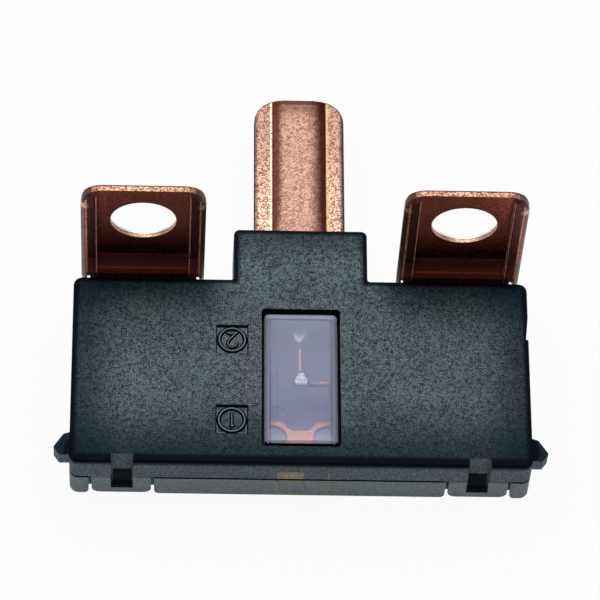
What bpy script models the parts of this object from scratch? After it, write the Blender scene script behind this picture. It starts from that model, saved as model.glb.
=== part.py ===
# Battery fuse: two black moulded covers that latch together, a clear window on each side,
# and one stamped copper element with a blade terminal and two bolt-down tabs.
#
# The fuse lies on its back. X runs along the housing, Y from its lower edge to the blade's end,
# Z from the back face up to the front. The whole part hangs on one empty, which puts the
# middle of its outer box over the origin. Inside that empty, Y = 0 is the housing's lower edge.

import math

import bmesh
import bpy
from mathutils import Matrix

MM = 0.001

# Housing
HOUSING_WIDTH = 46.5 * MM
HOUSING_HEIGHT = 21.4 * MM
HOUSING_DEPTH = 6.9 * MM
TOWER_WIDTH = 13.74 * MM
TOWER_RISE = 6.0 * MM
PARTING_HEIGHT = 3.55 * MM
FACE_WALL = 1.3 * MM
BACK_WALL = 1.2 * MM
SIDE_WALL = 1.3 * MM
LATCH_WALL = 2.2 * MM
CORNER_ROUND = 0.9 * MM
TOWER_CORNER_ROUND = 0.6 * MM
TOWER_FOOT_ROUND = 0.3 * MM
FRONT_EDGE_ROUND = 0.6 * MM
BACK_EDGE_ROUND = 0.8 * MM
FIT_GAP = 0.3 * MM

# Ribs and hollows inside both covers
RIB_THICKNESS = 0.9 * MM
RIBS_PER_SIDE = 2
BAY_LEDGE = 0.4 * MM
BAY_ROUND = 0.4 * MM
POCKET_ROUND = 0.5 * MM
CHAMBER_ROUND = 0.3 * MM
WINDOW_FRAME_WALL = 1.2 * MM

# Ears on the front cover's side walls
EAR_REACH = 1.6 * MM
EAR_WIDTH = 2.55 * MM
EAR_START = 0.8 * MM
EAR_THICKNESS = 1.75 * MM
EAR_SETBACK = 0.15 * MM
EAR_ROOT = 0.9 * MM
EAR_LOW_REACH = 0.99 * MM
EAR_HIGH_REACH = 0.61 * MM
EAR_CORNER_ROUND = 0.2 * MM
EAR_TOP_ROUND = 0.3 * MM

# Tapered dent in the right side wall
DENT_DEPTH = 0.28 * MM
DENT_LENGTH = 2.85 * MM
DENT_START = 14.75 * MM

# Latch tabs of the front cover and catches of the back cover
LATCH_SIDE_DISTANCE = 5.25 * MM
LATCH_WIDTH = 6.0 * MM
LATCH_THICKNESS = 0.75 * MM
LATCH_END_HEIGHT = 0.4 * MM
LATCH_CORNER_ROUND = 0.85 * MM
LATCH_HOLE_SHIFT = 0.05 * MM
LATCH_HOLE_WIDTH = 2.2 * MM
LATCH_HOLE_LOW = 1.35 * MM
LATCH_SLOT_DEPTH = 0.94 * MM
CATCH_SIDE_GAP = 0.2 * MM
CATCH_HEIGHT = 0.5 * MM
CATCH_TIP_HEIGHT = 0.1 * MM
CATCH_TIP_SETBACK = 0.05 * MM
FOOT_ROUND = 0.9 * MM

# Number fields on the front face
FIELD_SIZE = 3.2 * MM
FIELD_DEPTH = 0.2 * MM
FIELD_WINDOW_DISTANCE = 3.0 * MM
FIELD_CENTRES_Y = (5.0 * MM, 14.27 * MM)

# Windows
OPENING_WIDTH = 8.0 * MM
OPENING_BOTTOM = 2.05 * MM
OPENING_TOP = 17.9 * MM
OPENING_CORNER_ROUND = 0.35 * MM
PANE_THICKNESS = 1.0 * MM
PANE_SETBACK = 0.12 * MM
PANE_BEVEL = 0.45 * MM
PANE_CORNER_CUT = 0.5 * MM
PANE_SIDE_WALL = 0.7 * MM
PANE_END_WALL = 0.35 * MM
FLANGE_REACH = 0.7 * MM
FLANGE_BOTTOM_REACH = 0.35 * MM
FLANGE_THICKNESS = 0.75 * MM
FLANGE_CORNER_ROUND = 0.3 * MM
POST_RADIUS = 1.12 * MM
POST_CENTRE_X = 2.72 * MM
POST_CENTRE_Y = 4.75 * MM
PIN_MARK_RADIUS = 1.1 * MM
PIN_MARK_DEPTH = 0.15 * MM
PIN_MARK_CENTRE = (2.25 * MM, 8.6 * MM)

# Copper element: one sheet, hemmed along the edges of its blade and tabs
SHEET = 0.66 * MM
DRAW_IN = 0.03 * MM
SHEET_BACK = 2.9 * MM
PLATE_INNER_X = 6.2 * MM
PLATE_BOTTOM = 2.85 * MM
PLATE_TOP = 19.0 * MM
PLATE_CORNER_ROUND = 0.5 * MM
STEM_BOTTOM = 18.9 * MM
STEM_TAPER = 0.3 * MM
BRIDGE_LINK_WIDTH = 0.55 * MM
BRIDGE_ARCH_ROUND = 0.6 * MM
BRIDGE_SHOULDER_REACH = 1.6 * MM
BRIDGE_SHOULDER_RISE = 1.0 * MM
BRIDGE_SHOULDER_DROP = 0.1 * MM
BRIDGE_SHOULDER_ROUND = 0.3 * MM
BRIDGE_DIP_HALF = 0.88 * MM
BRIDGE_DIP_Y = 5.63 * MM
BRIDGE_DIP_SLOPE = 0.75 * MM
BRIDGE_DIP_DROP = 0.2 * MM
BRIDGE_DIP_ROUND = 0.2 * MM
THIN_LINK_WIDTH = 0.28 * MM
THIN_LINK_Y = 11.22 * MM
THIN_LINK_STUB_WIDTH = 0.5 * MM
THIN_LINK_STUB_END = 1.75 * MM
FORK_REACH = 0.2 * MM
FORK_DEPTH = 0.3 * MM

# Tabs
TAB_TOWER_CLEARANCE = 3.03 * MM
TAB_SIDE_SETBACK = 0.75 * MM
TAB_CLEARANCE = 1.3 * MM
NECK_SETBACK = 0.75 * MM
TAB_END = 21.54 * MM
TAB_CORNER_ROUND = 2.2 * MM
TAB_FLAP_WIDTH = 1.6 * MM
TAB_FLAP_START = 6.0 * MM
TAB_SHOULDER_START = 3.4 * MM
TAB_BEND_CENTRE = 5.2 * MM
STUD_HOLE_RADIUS = 3.33 * MM
STUD_HOLE_DISTANCE = 16.0 * MM
HEM_ROUND = 0.6 * MM

# Blade
BLADE_WIDTH = 9.5 * MM
BLADE_END = 45.57 * MM
BLADE_CORNER_ROUND = 3.2 * MM
BLADE_FLAP_WIDTH = 1.92 * MM
BLADE_HEM_START = 22.0 * MM
BLADE_CHAMFER_LENGTH = 0.55 * MM
BLADE_CHAMFER_DEPTH = 0.25 * MM

# Tin pellets on the thin link, as thick as their share of the room under the front window
PELLET_SHARE = 0.36
PELLET_ROUND = 0.3 * MM
UPPER_PELLET_START = 15.0 * MM
UPPER_PELLET_LENGTH = 1.95 * MM
LOWER_PELLET_OVERHANG = 1.07 * MM
LOWER_PELLET_LENGTH = 1.75 * MM
PELLET_WIDE = 1.8 * MM
PELLET_BLUNT = 1.3 * MM
PELLET_NARROW = 0.65 * MM
PELLET_SHOULDER = 0.65 * MM

ARC_STEP = math.radians(15)

# Heights and places that follow from the values above
SHEET_FRONT = SHEET_BACK + SHEET
HEM_THICKNESS = 2 * SHEET
FRONT_COVER_BACK = PARTING_HEIGHT + FIT_GAP / 2
BACK_COVER_FRONT = PARTING_HEIGHT - FIT_GAP / 2
CLAMP_FRONT = SHEET_FRONT + FIT_GAP
CLAMP_BACK = SHEET_BACK - FIT_GAP
FACE_INSIDE = HOUSING_DEPTH - FACE_WALL
PANE_INSIDE = HOUSING_DEPTH - PANE_SETBACK - PANE_THICKNESS
PELLET_THICKNESS = (PANE_INSIDE - SHEET_FRONT) * PELLET_SHARE
SIDE_INSIDE = HOUSING_WIDTH / 2 - SIDE_WALL
TOP_INSIDE = HOUSING_HEIGHT - SIDE_WALL
TOWER_TOP = HOUSING_HEIGHT + TOWER_RISE
LATCH_CENTRE = HOUSING_WIDTH / 2 - LATCH_SIDE_DISTANCE
LATCH_HOLE_CENTRE = LATCH_CENTRE - LATCH_HOLE_SHIFT
FIELD_CENTRE_X = -(OPENING_WIDTH / 2 + FIELD_WINDOW_DISTANCE)
PLATE_OUTER_X = SIDE_INSIDE - FIT_GAP
TAB_INNER_X = TOWER_WIDTH / 2 + TAB_TOWER_CLEARANCE
TAB_OUTER_X = HOUSING_WIDTH / 2 - TAB_SIDE_SETBACK
TAB_HEIGHT = HOUSING_HEIGHT + TAB_CLEARANCE
NECK_INNER_X = TAB_INNER_X + NECK_SETBACK
CHAMBER_HALF = OPENING_WIDTH / 2 + FLANGE_REACH
CHAMBER_BOTTOM = OPENING_BOTTOM - FLANGE_BOTTOM_REACH - FIT_GAP
CHAMBER_TOP = OPENING_TOP + FLANGE_REACH
BEYOND = 2.0 * MM


def arc(centre_x, centre_y, radius, start, end):
    """Points on an arc, from one angle to another in radians."""
    count = max(2, math.ceil(abs(end - start) / ARC_STEP) + 1)
    points = []
    for i in range(count):
        angle = start + (end - start) * i / (count - 1)
        points.append((centre_x + radius * math.cos(angle), centre_y + radius * math.sin(angle)))
    return points


def circle(centre_x, centre_y, radius, sides=32):
    """Corner points of a round outline."""
    points = []
    for i in range(sides):
        angle = 2 * math.pi * i / sides
        points.append((centre_x + radius * math.cos(angle), centre_y + radius * math.sin(angle)))
    return points


def rounded(corners):
    """An outline whose corners (x, y, radius) are turned into arcs."""
    points = []
    for i, (x, y, radius) in enumerate(corners):
        if radius == 0:
            points.append((x, y))
            continue
        before = corners[i - 1]
        after = corners[(i + 1) % len(corners)]
        ax, ay = before[0] - x, before[1] - y
        bx, by = after[0] - x, after[1] - y
        a_length = math.hypot(ax, ay)
        b_length = math.hypot(bx, by)
        ax, ay, bx, by = ax / a_length, ay / a_length, bx / b_length, by / b_length
        half = math.acos(max(-1.0, min(1.0, ax * bx + ay * by))) / 2
        middle_length = math.hypot(ax + bx, ay + by)
        reach = radius / math.sin(half)
        centre_x = x + (ax + bx) / middle_length * reach
        centre_y = y + (ay + by) / middle_length * reach
        tangent = radius / math.tan(half)
        start = math.atan2(y + ay * tangent - centre_y, x + ax * tangent - centre_x)
        end = math.atan2(y + by * tangent - centre_y, x + bx * tangent - centre_x)
        turn = (end - start + math.pi) % (2 * math.pi) - math.pi
        points += arc(centre_x, centre_y, radius, start, start + turn)
    return points


def box_outline(x0, x1, y0, y1, radius=0.0):
    """A rectangle, with round corners where a radius is given."""
    return rounded([(x0, y0, radius), (x1, y0, radius), (x1, y1, radius), (x0, y1, radius)])


def mirrored(points):
    """The same outline on the other side of X = 0."""
    return [(-x, y) for x, y in reversed(points)]


# An outline lies in XY, XZ or YZ, and its prism runs along the third axis.
TURNS = {
    'XY': Matrix.Identity(4),
    'XZ': Matrix(((1, 0, 0, 0), (0, 0, -1, 0), (0, 1, 0, 0), (0, 0, 0, 1))),
    'YZ': Matrix(((0, 0, 1, 0), (1, 0, 0, 0), (0, 1, 0, 0), (0, 0, 0, 1))),
}


def prism(name, loops, low, high, plane='XY', collection=None, round_high=0.0, round_low=0.0, segments=3):
    """A flat outline with its holes, made solid between two heights, with its rims rounded."""
    curve = bpy.data.curves.new(name, 'CURVE')
    curve.dimensions = '2D'
    curve.fill_mode = 'BOTH'
    curve.extrude = (high - low) / 2
    for loop in loops:
        spline = curve.splines.new('POLY')
        spline.points.add(len(loop) - 1)
        for point, (u, v) in zip(spline.points, loop):
            point.co = (u, v, 0.0, 1.0)
        spline.use_cyclic_u = True
    guide = bpy.data.objects.new(name + '_outline', curve)
    bpy.context.scene.collection.objects.link(guide)
    bpy.context.view_layer.update()
    evaluated = guide.evaluated_get(bpy.context.evaluated_depsgraph_get())
    mesh = bpy.data.meshes.new_from_object(evaluated)
    bpy.data.objects.remove(guide)
    bpy.data.curves.remove(curve)
    mesh.name = name

    bm = bmesh.new()
    bm.from_mesh(mesh)
    bmesh.ops.remove_doubles(bm, verts=bm.verts, dist=1e-7)
    if round_high or round_low:
        bmesh.ops.dissolve_limit(bm, angle_limit=0.001, verts=bm.verts, edges=bm.edges)
    half = (high - low) / 2
    for height, width in ((half, round_high), (-half, round_low)):
        if width == 0:
            continue
        rim = [e for e in bm.edges
               if all(abs(v.co.z - height) < 1e-7 for v in e.verts)
               and any(abs(f.normal.z) < 0.5 for f in e.link_faces)]
        bmesh.ops.bevel(bm, geom=rim, offset=width, offset_type='OFFSET', segments=segments,
                        profile=0.5, affect='EDGES', clamp_overlap=True)
    bmesh.ops.recalc_face_normals(bm, faces=bm.faces)
    bm.transform(TURNS[plane])
    shift = [0.0 if letter in plane else (low + high) / 2 for letter in 'XYZ']
    bmesh.ops.translate(bm, verts=bm.verts, vec=shift)
    bm.to_mesh(mesh)
    bm.free()
    obj = bpy.data.objects.new(name, mesh)
    (collection or cutters).objects.link(obj)
    obj.parent = middle
    return obj


def combine(obj, tool, operation):
    """Cut, join or intersect an object with another one."""
    tool.hide_render = True
    tool.display_type = 'WIRE'
    if tool.name not in cutters.objects:
        cutters.objects.link(tool)
        parts.objects.unlink(tool)
    modifier = obj.modifiers.new(tool.name, 'BOOLEAN')
    modifier.operation = operation
    modifier.solver = 'EXACT'
    modifier.object = tool


def material(name, colour, roughness, metallic=0.0, transmission=0.0):
    """A plain surface finish."""
    made = bpy.data.materials.new(name)
    made.use_nodes = True
    shader = made.node_tree.nodes['Principled BSDF']
    shader.inputs['Base Color'].default_value = (*colour, 1.0)
    shader.inputs['Roughness'].default_value = roughness
    shader.inputs['Metallic'].default_value = metallic
    shader.inputs['Transmission Weight'].default_value = transmission
    return made


def finish(obj, surface):
    """Give a piece its material and smooth its round faces."""
    obj.data.materials.append(surface)
    obj.data.shade_smooth()
    obj.data.set_sharp_from_angle(angle=math.radians(30))


def housing_outline():
    """The housing seen from the front: a wide body with the blade's tower on top."""
    half = HOUSING_WIDTH / 2
    tower = TOWER_WIDTH / 2
    right = [
        (half, 0.0, CORNER_ROUND),
        (half, HOUSING_HEIGHT, CORNER_ROUND),
        (tower, HOUSING_HEIGHT, TOWER_FOOT_ROUND),
        (tower, TOWER_TOP, TOWER_CORNER_ROUND),
    ]
    left = [(-x, y, radius) for x, y, radius in reversed(right)]
    return rounded(right + left)


def hollow(cover, name, clamp, floor, outside, hem_clearance):
    """Everything that both covers leave free for the element and the windows.

    clamp is the level beside the sheet, floor the inside of the outer wall, outside a level
    past the outer wall, and hem_clearance the level beside the blade's hem.
    """
    over = PARTING_HEIGHT

    def between(a, b):
        return (min(a, b), max(a, b))

    shallow = between(over, clamp)
    deep = between(over, floor)
    pocket = box_outline(-SIDE_INSIDE, SIDE_INSIDE, LATCH_WALL, TOP_INSIDE, POCKET_ROUND)
    combine(cover, prism(name + '_pocket', [pocket], *shallow), 'DIFFERENCE')

    first = CHAMBER_HALF + WINDOW_FRAME_WALL
    pocket_count = RIBS_PER_SIDE + 1
    pocket_width = (SIDE_INSIDE - BAY_LEDGE - first - RIBS_PER_SIDE * RIB_THICKNESS) / pocket_count
    for i in range(pocket_count):
        start = first + i * (pocket_width + RIB_THICKNESS)
        outline = box_outline(start, start + pocket_width,
                              LATCH_WALL + BAY_LEDGE, TOP_INSIDE - BAY_LEDGE, BAY_ROUND)
        for side, loop in (('right', outline), ('left', mirrored(outline))):
            tool = prism(f'{name}_bay_{side}_{i + 1}', [loop], *deep)
            combine(cover, tool, 'DIFFERENCE')

    chamber = box_outline(-CHAMBER_HALF, CHAMBER_HALF, CHAMBER_BOTTOM, CHAMBER_TOP, CHAMBER_ROUND)
    combine(cover, prism(name + '_chamber', [chamber], *deep), 'DIFFERENCE')

    half = OPENING_WIDTH / 2
    opening = box_outline(-half, half, OPENING_BOTTOM, OPENING_TOP, OPENING_CORNER_ROUND)
    combine(cover, prism(name + '_opening', [opening], *between(over, outside)), 'DIFFERENCE')

    half = BLADE_WIDTH / 2 + FIT_GAP
    channel = box_outline(-half, half, CHAMBER_TOP - FIT_GAP, TOWER_TOP + BEYOND)
    combine(cover, prism(name + '_channel', [channel], *between(over, hem_clearance)), 'DIFFERENCE')

    neck = box_outline(NECK_INNER_X - FIT_GAP, PLATE_OUTER_X + FIT_GAP / 2,
                       TOP_INSIDE - 2 * BAY_LEDGE, HOUSING_HEIGHT + BEYOND)
    for side, loop in (('right', neck), ('left', mirrored(neck))):
        combine(cover, prism(f'{name}_neck_slot_{side}', [loop], *shallow), 'DIFFERENCE')


def front_cover():
    """The cover with the number fields, the ears and the two latch tabs."""
    cover = prism('front_cover', [housing_outline()], FRONT_COVER_BACK, HOUSING_DEPTH,
                  collection=parts, round_high=FRONT_EDGE_ROUND)

    wall = HOUSING_WIDTH / 2
    ear_low = HOUSING_DEPTH - EAR_SETBACK - EAR_THICKNESS
    ear_top = EAR_START + EAR_WIDTH
    ear = rounded([
        (wall - EAR_ROOT, EAR_START, 0.0),
        (wall + EAR_LOW_REACH, EAR_START, EAR_CORNER_ROUND),
        (wall + EAR_REACH, EAR_START + EAR_WIDTH / 3, EAR_CORNER_ROUND),
        (wall + EAR_HIGH_REACH, ear_top - EAR_CORNER_ROUND, EAR_TOP_ROUND),
        (wall, ear_top, 0.0),
        (wall - EAR_ROOT, ear_top, 0.0),
    ])
    for side, loop in (('right', ear), ('left', mirrored(ear))):
        tool = prism(f'ear_{side}', [loop], ear_low, ear_low + EAR_THICKNESS)
        combine(cover, tool, 'UNION')

    low = LATCH_CENTRE - LATCH_WIDTH / 2
    high = LATCH_CENTRE + LATCH_WIDTH / 2
    root = FRONT_COVER_BACK + LATCH_THICKNESS
    tab = rounded([
        (low, LATCH_END_HEIGHT, LATCH_CORNER_ROUND),
        (high, LATCH_END_HEIGHT, LATCH_CORNER_ROUND),
        (high, root, 0.0),
        (low, root, 0.0),
    ])
    for side, loop in (('right', tab), ('left', mirrored(tab))):
        tool = prism(f'latch_tab_{side}', [loop], 0.0, LATCH_THICKNESS, plane='XZ')
        combine(cover, tool, 'UNION')

    hollow(cover, 'front', CLAMP_FRONT, FACE_INSIDE, HOUSING_DEPTH + BEYOND,
           SHEET_BACK + HEM_THICKNESS + FIT_GAP)

    hole = box_outline(LATCH_HOLE_CENTRE - LATCH_HOLE_WIDTH / 2, LATCH_HOLE_CENTRE + LATCH_HOLE_WIDTH / 2,
                       LATCH_HOLE_LOW, HOUSING_DEPTH + BEYOND)
    for side, loop in (('right', hole), ('left', mirrored(hole))):
        tool = prism(f'latch_hole_{side}', [loop], -BEYOND, LATCH_SLOT_DEPTH, plane='XZ')
        combine(cover, tool, 'DIFFERENCE')

    for i, centre_y in enumerate(FIELD_CENTRES_Y):
        half = FIELD_SIZE / 2
        field = box_outline(FIELD_CENTRE_X - half, FIELD_CENTRE_X + half, centre_y - half, centre_y + half)
        tool = prism(f'number_field_{i + 1}', [field], HOUSING_DEPTH - FIELD_DEPTH, HOUSING_DEPTH + BEYOND)
        combine(cover, tool, 'DIFFERENCE')

    dent = [
        (wall - DENT_DEPTH, DENT_START),
        (wall + BEYOND, DENT_START),
        (wall + BEYOND, DENT_START + DENT_LENGTH),
        (wall, DENT_START + DENT_LENGTH),
    ]
    tool = prism('side_dent', [dent], FRONT_COVER_BACK - BEYOND, HOUSING_DEPTH + BEYOND)
    combine(cover, tool, 'DIFFERENCE')
    return cover


def back_cover():
    """The cover that the fuse lies on, with the catches between its corner feet."""
    cover = prism('back_cover', [housing_outline()], 0.0, BACK_COVER_FRONT,
                  collection=parts, round_low=BACK_EDGE_ROUND)

    low = LATCH_CENTRE - LATCH_WIDTH / 2 - FIT_GAP
    high = LATCH_CENTRE + LATCH_WIDTH / 2 + FIT_GAP
    pocket_floor = LATCH_THICKNESS + FIT_GAP
    pocket = (
        [(low, PARTING_HEIGHT + BEYOND)]
        + arc(low - FOOT_ROUND, FOOT_ROUND, FOOT_ROUND, 0.0, -math.pi / 2)
        + [(low - FOOT_ROUND, -BEYOND), (high + FOOT_ROUND, -BEYOND)]
        + arc(high + FOOT_ROUND, FOOT_ROUND, FOOT_ROUND, -math.pi / 2, -math.pi)
        + [(high, PARTING_HEIGHT + BEYOND)]
    )
    for side, loop in (('right', pocket), ('left', mirrored(pocket))):
        tool = prism(f'latch_pocket_{side}', [loop], -BEYOND, pocket_floor, plane='XZ')
        combine(cover, tool, 'DIFFERENCE')

    catch_low = LATCH_HOLE_LOW + FIT_GAP
    catch_root = pocket_floor + FIT_GAP
    catch = [
        (pocket_floor - CATCH_HEIGHT, catch_low),
        (catch_root, catch_low),
        (catch_root, BACK_COVER_FRONT - CATCH_TIP_SETBACK),
        (pocket_floor - CATCH_TIP_HEIGHT, BACK_COVER_FRONT - CATCH_TIP_SETBACK),
    ]
    half = LATCH_HOLE_WIDTH / 2 - CATCH_SIDE_GAP
    for side, sign in (('right', 1), ('left', -1)):
        centre = sign * LATCH_HOLE_CENTRE
        tool = prism(f'catch_{side}', [catch], centre - half, centre + half, plane='YZ')
        combine(cover, tool, 'UNION')

    hollow(cover, 'back', CLAMP_BACK, BACK_WALL, -BEYOND, CLAMP_BACK)
    return cover


def window(name, outer, away):
    """A clear cap that fills a cover's opening, with a flange behind the cover's wall.

    outer is the height of its visible face, and away is 1 where that face looks up, -1 down.
    """
    half = OPENING_WIDTH / 2 - FIT_GAP
    bottom = OPENING_BOTTOM + FIT_GAP
    top = OPENING_TOP - FIT_GAP
    inner = CLAMP_FRONT if away > 0 else CLAMP_BACK
    wall_inside = FACE_INSIDE if away > 0 else BACK_WALL

    def run(a, b):
        return {'low': min(a, b), 'high': max(a, b)}

    plug = box_outline(-half, half, bottom, top, PANE_CORNER_CUT)
    rims = {'round_high' if away > 0 else 'round_low': PANE_BEVEL}
    cap = prism(name, [plug], **run(inner, outer), collection=parts, segments=1, **rims)

    flange = box_outline(-half - FLANGE_REACH, half + FLANGE_REACH,
                         OPENING_BOTTOM - FLANGE_BOTTOM_REACH, top + FLANGE_REACH,
                         FLANGE_CORNER_ROUND)
    near = wall_inside - away * FIT_GAP
    tool = prism(name + '_flange', [flange], **run(near, near - away * FLANGE_THICKNESS))
    combine(cap, tool, 'UNION')

    inside = box_outline(-half + PANE_SIDE_WALL, half - PANE_SIDE_WALL,
                         bottom + PANE_END_WALL, top - PANE_END_WALL, FLANGE_CORNER_ROUND)
    pane = outer - away * PANE_THICKNESS
    tool = prism(name + '_inside', [inside], **run(inner - away * BEYOND, pane))
    combine(cap, tool, 'DIFFERENCE')
    return cap


def window_rear():
    """The back window: its two posts stand up through the bridge link's holes."""
    pane = PANE_SETBACK + PANE_THICKNESS
    cap = window('window_rear', PANE_SETBACK, -1)
    for side, sign in (('right', 1), ('left', -1)):
        post = circle(sign * POST_CENTRE_X, POST_CENTRE_Y, POST_RADIUS, 24)
        tool = prism(f'post_{side}', [post], pane - PANE_THICKNESS / 2, SHEET_FRONT)
        combine(cap, tool, 'UNION')
        mark = circle(sign * PIN_MARK_CENTRE[0], PIN_MARK_CENTRE[1], PIN_MARK_RADIUS, 24)
        tool = prism(f'pin_mark_{side}', [mark], pane - PIN_MARK_DEPTH, pane + BEYOND)
        combine(cap, tool, 'DIFFERENCE')
    return cap


def sheet_outline():
    """The element where it lies flat: two plates, the bridge link, the thin link and the stem."""
    bridge_hole = POST_RADIUS + FIT_GAP
    bridge_top = POST_CENTRE_Y + bridge_hole + BRIDGE_LINK_WIDTH
    stem = BLADE_WIDTH / 2 - HEM_ROUND
    thin = THIN_LINK_WIDTH / 2
    stub = THIN_LINK_STUB_WIDTH / 2
    end = THIN_LINK_STUB_END
    bend = TAB_HEIGHT - (TAB_BEND_CENTRE - SHEET_FRONT)
    right_plate = [
        (PLATE_OUTER_X, PLATE_BOTTOM, PLATE_CORNER_ROUND),
        (PLATE_OUTER_X, bend - 3 * DRAW_IN, 0.0),
        (NECK_INNER_X, bend - 3 * DRAW_IN, 0.0),
        (NECK_INNER_X, PLATE_TOP, 0.0),
        (PLATE_INNER_X, PLATE_TOP, PLATE_CORNER_ROUND),
    ]
    thin_link = [
        (PLATE_INNER_X, THIN_LINK_Y + stub, 0.0),
        (end + FORK_DEPTH, THIN_LINK_Y + thin, 0.0),
        (end - FORK_REACH, THIN_LINK_Y + stub, 0.0),
        (end, THIN_LINK_Y + thin, 0.0),
        (thin, THIN_LINK_Y + thin, 0.0),
        (thin, STEM_BOTTOM - STEM_TAPER, 0.0),
        (stem, STEM_BOTTOM, PLATE_CORNER_ROUND),
        (stem, BLADE_HEM_START + SHEET, 0.0),
        (-stem, BLADE_HEM_START + SHEET, 0.0),
        (-stem, STEM_BOTTOM, PLATE_CORNER_ROUND),
        (-thin, STEM_BOTTOM - STEM_TAPER, 0.0),
        (-thin, THIN_LINK_Y - thin, 0.0),
        (end, THIN_LINK_Y - thin, 0.0),
        (end - FORK_REACH, THIN_LINK_Y - stub, 0.0),
        (end + FORK_DEPTH, THIN_LINK_Y - thin, 0.0),
        (PLATE_INNER_X, THIN_LINK_Y - stub, 0.0),
    ]
    right_flank = [
        (PLATE_INNER_X, bridge_top + BRIDGE_SHOULDER_RISE, BRIDGE_SHOULDER_ROUND),
        (PLATE_INNER_X - BRIDGE_SHOULDER_REACH, bridge_top - BRIDGE_SHOULDER_DROP, 0.0),
        (POST_CENTRE_X, bridge_top, BRIDGE_ARCH_ROUND),
        (BRIDGE_DIP_HALF + BRIDGE_DIP_SLOPE, bridge_top - BRIDGE_DIP_DROP, BRIDGE_SHOULDER_ROUND),
        (BRIDGE_DIP_HALF, BRIDGE_DIP_Y, BRIDGE_DIP_ROUND),
    ]
    left_flank = [(-x, y, radius) for x, y, radius in reversed(right_flank)]
    left_plate = [(-x, y, radius) for x, y, radius in reversed(right_plate)]
    outline = rounded(right_plate + thin_link + right_flank + left_flank + left_plate)
    holes = [circle(sign * POST_CENTRE_X, POST_CENTRE_Y, bridge_hole, 28) for sign in (1, -1)]
    return [outline] + holes


def tab(side, sign):
    """One bolt-down tab: a neck bent out of the sheet, and a shelf with hemmed sides."""
    bend = TAB_HEIGHT - (TAB_BEND_CENTRE - SHEET_FRONT)
    inner_radius = TAB_BEND_CENTRE - SHEET_FRONT
    outer_radius = inner_radius + SHEET
    shelf_top = TAB_HEIGHT + SHEET
    root = bend - SHEET
    tip = TAB_FLAP_START + SHEET
    straight_end = TAB_FLAP_START - 2 * DRAW_IN
    neck = (
        [(root, SHEET_BACK + DRAW_IN)]
        + arc(bend, TAB_BEND_CENTRE, outer_radius, -math.pi / 2, 0.0)
        + [(shelf_top, straight_end), (shelf_top - DRAW_IN, tip)]
        + [(TAB_HEIGHT + DRAW_IN, tip), (TAB_HEIGHT, straight_end)]
        + arc(bend, TAB_BEND_CENTRE, inner_radius, 0.0, -math.pi / 2)
        + [(root, SHEET_FRONT - DRAW_IN)]
    )
    neck_x = sorted((sign * (NECK_INNER_X + DRAW_IN), sign * (PLATE_OUTER_X - DRAW_IN)))
    bent_neck = prism(f'neck_{side}', [neck], *neck_x, plane='YZ')

    # The shelf's section: the sheet is folded under along both sides.
    inner, outer = sorted((sign * TAB_INNER_X, sign * TAB_OUTER_X))
    fold_bottom = shelf_top - HEM_THICKNESS
    section = rounded([
        (inner, fold_bottom, HEM_ROUND),
        (inner + TAB_FLAP_WIDTH, fold_bottom, 0.0),
        (inner + TAB_FLAP_WIDTH, TAB_HEIGHT, 0.0),
        (outer - TAB_FLAP_WIDTH, TAB_HEIGHT, 0.0),
        (outer - TAB_FLAP_WIDTH, fold_bottom, 0.0),
        (outer, fold_bottom, HEM_ROUND),
        (outer, shelf_top, HEM_ROUND),
        (inner, shelf_top, HEM_ROUND),
    ])
    shelf = prism(f'shelf_{side}', [section], TAB_SHOULDER_START, TAB_END)

    # The shelf's outline from above, with round free corners and a relief notch beside the neck.
    notch = FIT_GAP
    plan = rounded([
        (inner - MM, TAB_SHOULDER_START - MM, 0.0),
        (min(neck_x) - notch, TAB_SHOULDER_START - MM, 0.0),
        (min(neck_x) - notch, TAB_FLAP_START, 0.0),
        (max(neck_x) + notch, TAB_FLAP_START, 0.0),
        (max(neck_x) + notch, TAB_SHOULDER_START - MM, 0.0),
        (outer + MM, TAB_SHOULDER_START - MM, 0.0),
        (outer + MM, TAB_END - TAB_CORNER_ROUND, 0.0),
        (outer, TAB_END - TAB_CORNER_ROUND, 0.0),
        (outer, TAB_END, TAB_CORNER_ROUND),
        (inner, TAB_END, TAB_CORNER_ROUND),
        (inner, TAB_END - TAB_CORNER_ROUND, 0.0),
        (inner - MM, TAB_END - TAB_CORNER_ROUND, 0.0),
    ])
    stud_x = sign * (TAB_INNER_X + TAB_OUTER_X) / 2
    stud_hole = circle(stud_x, STUD_HOLE_DISTANCE, STUD_HOLE_RADIUS, 40)
    outline = prism(f'shelf_plan_{side}', [plan, stud_hole], TAB_HEIGHT - MM, shelf_top + MM, plane='XZ')
    combine(shelf, outline, 'INTERSECT')
    return bent_neck, shelf


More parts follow.
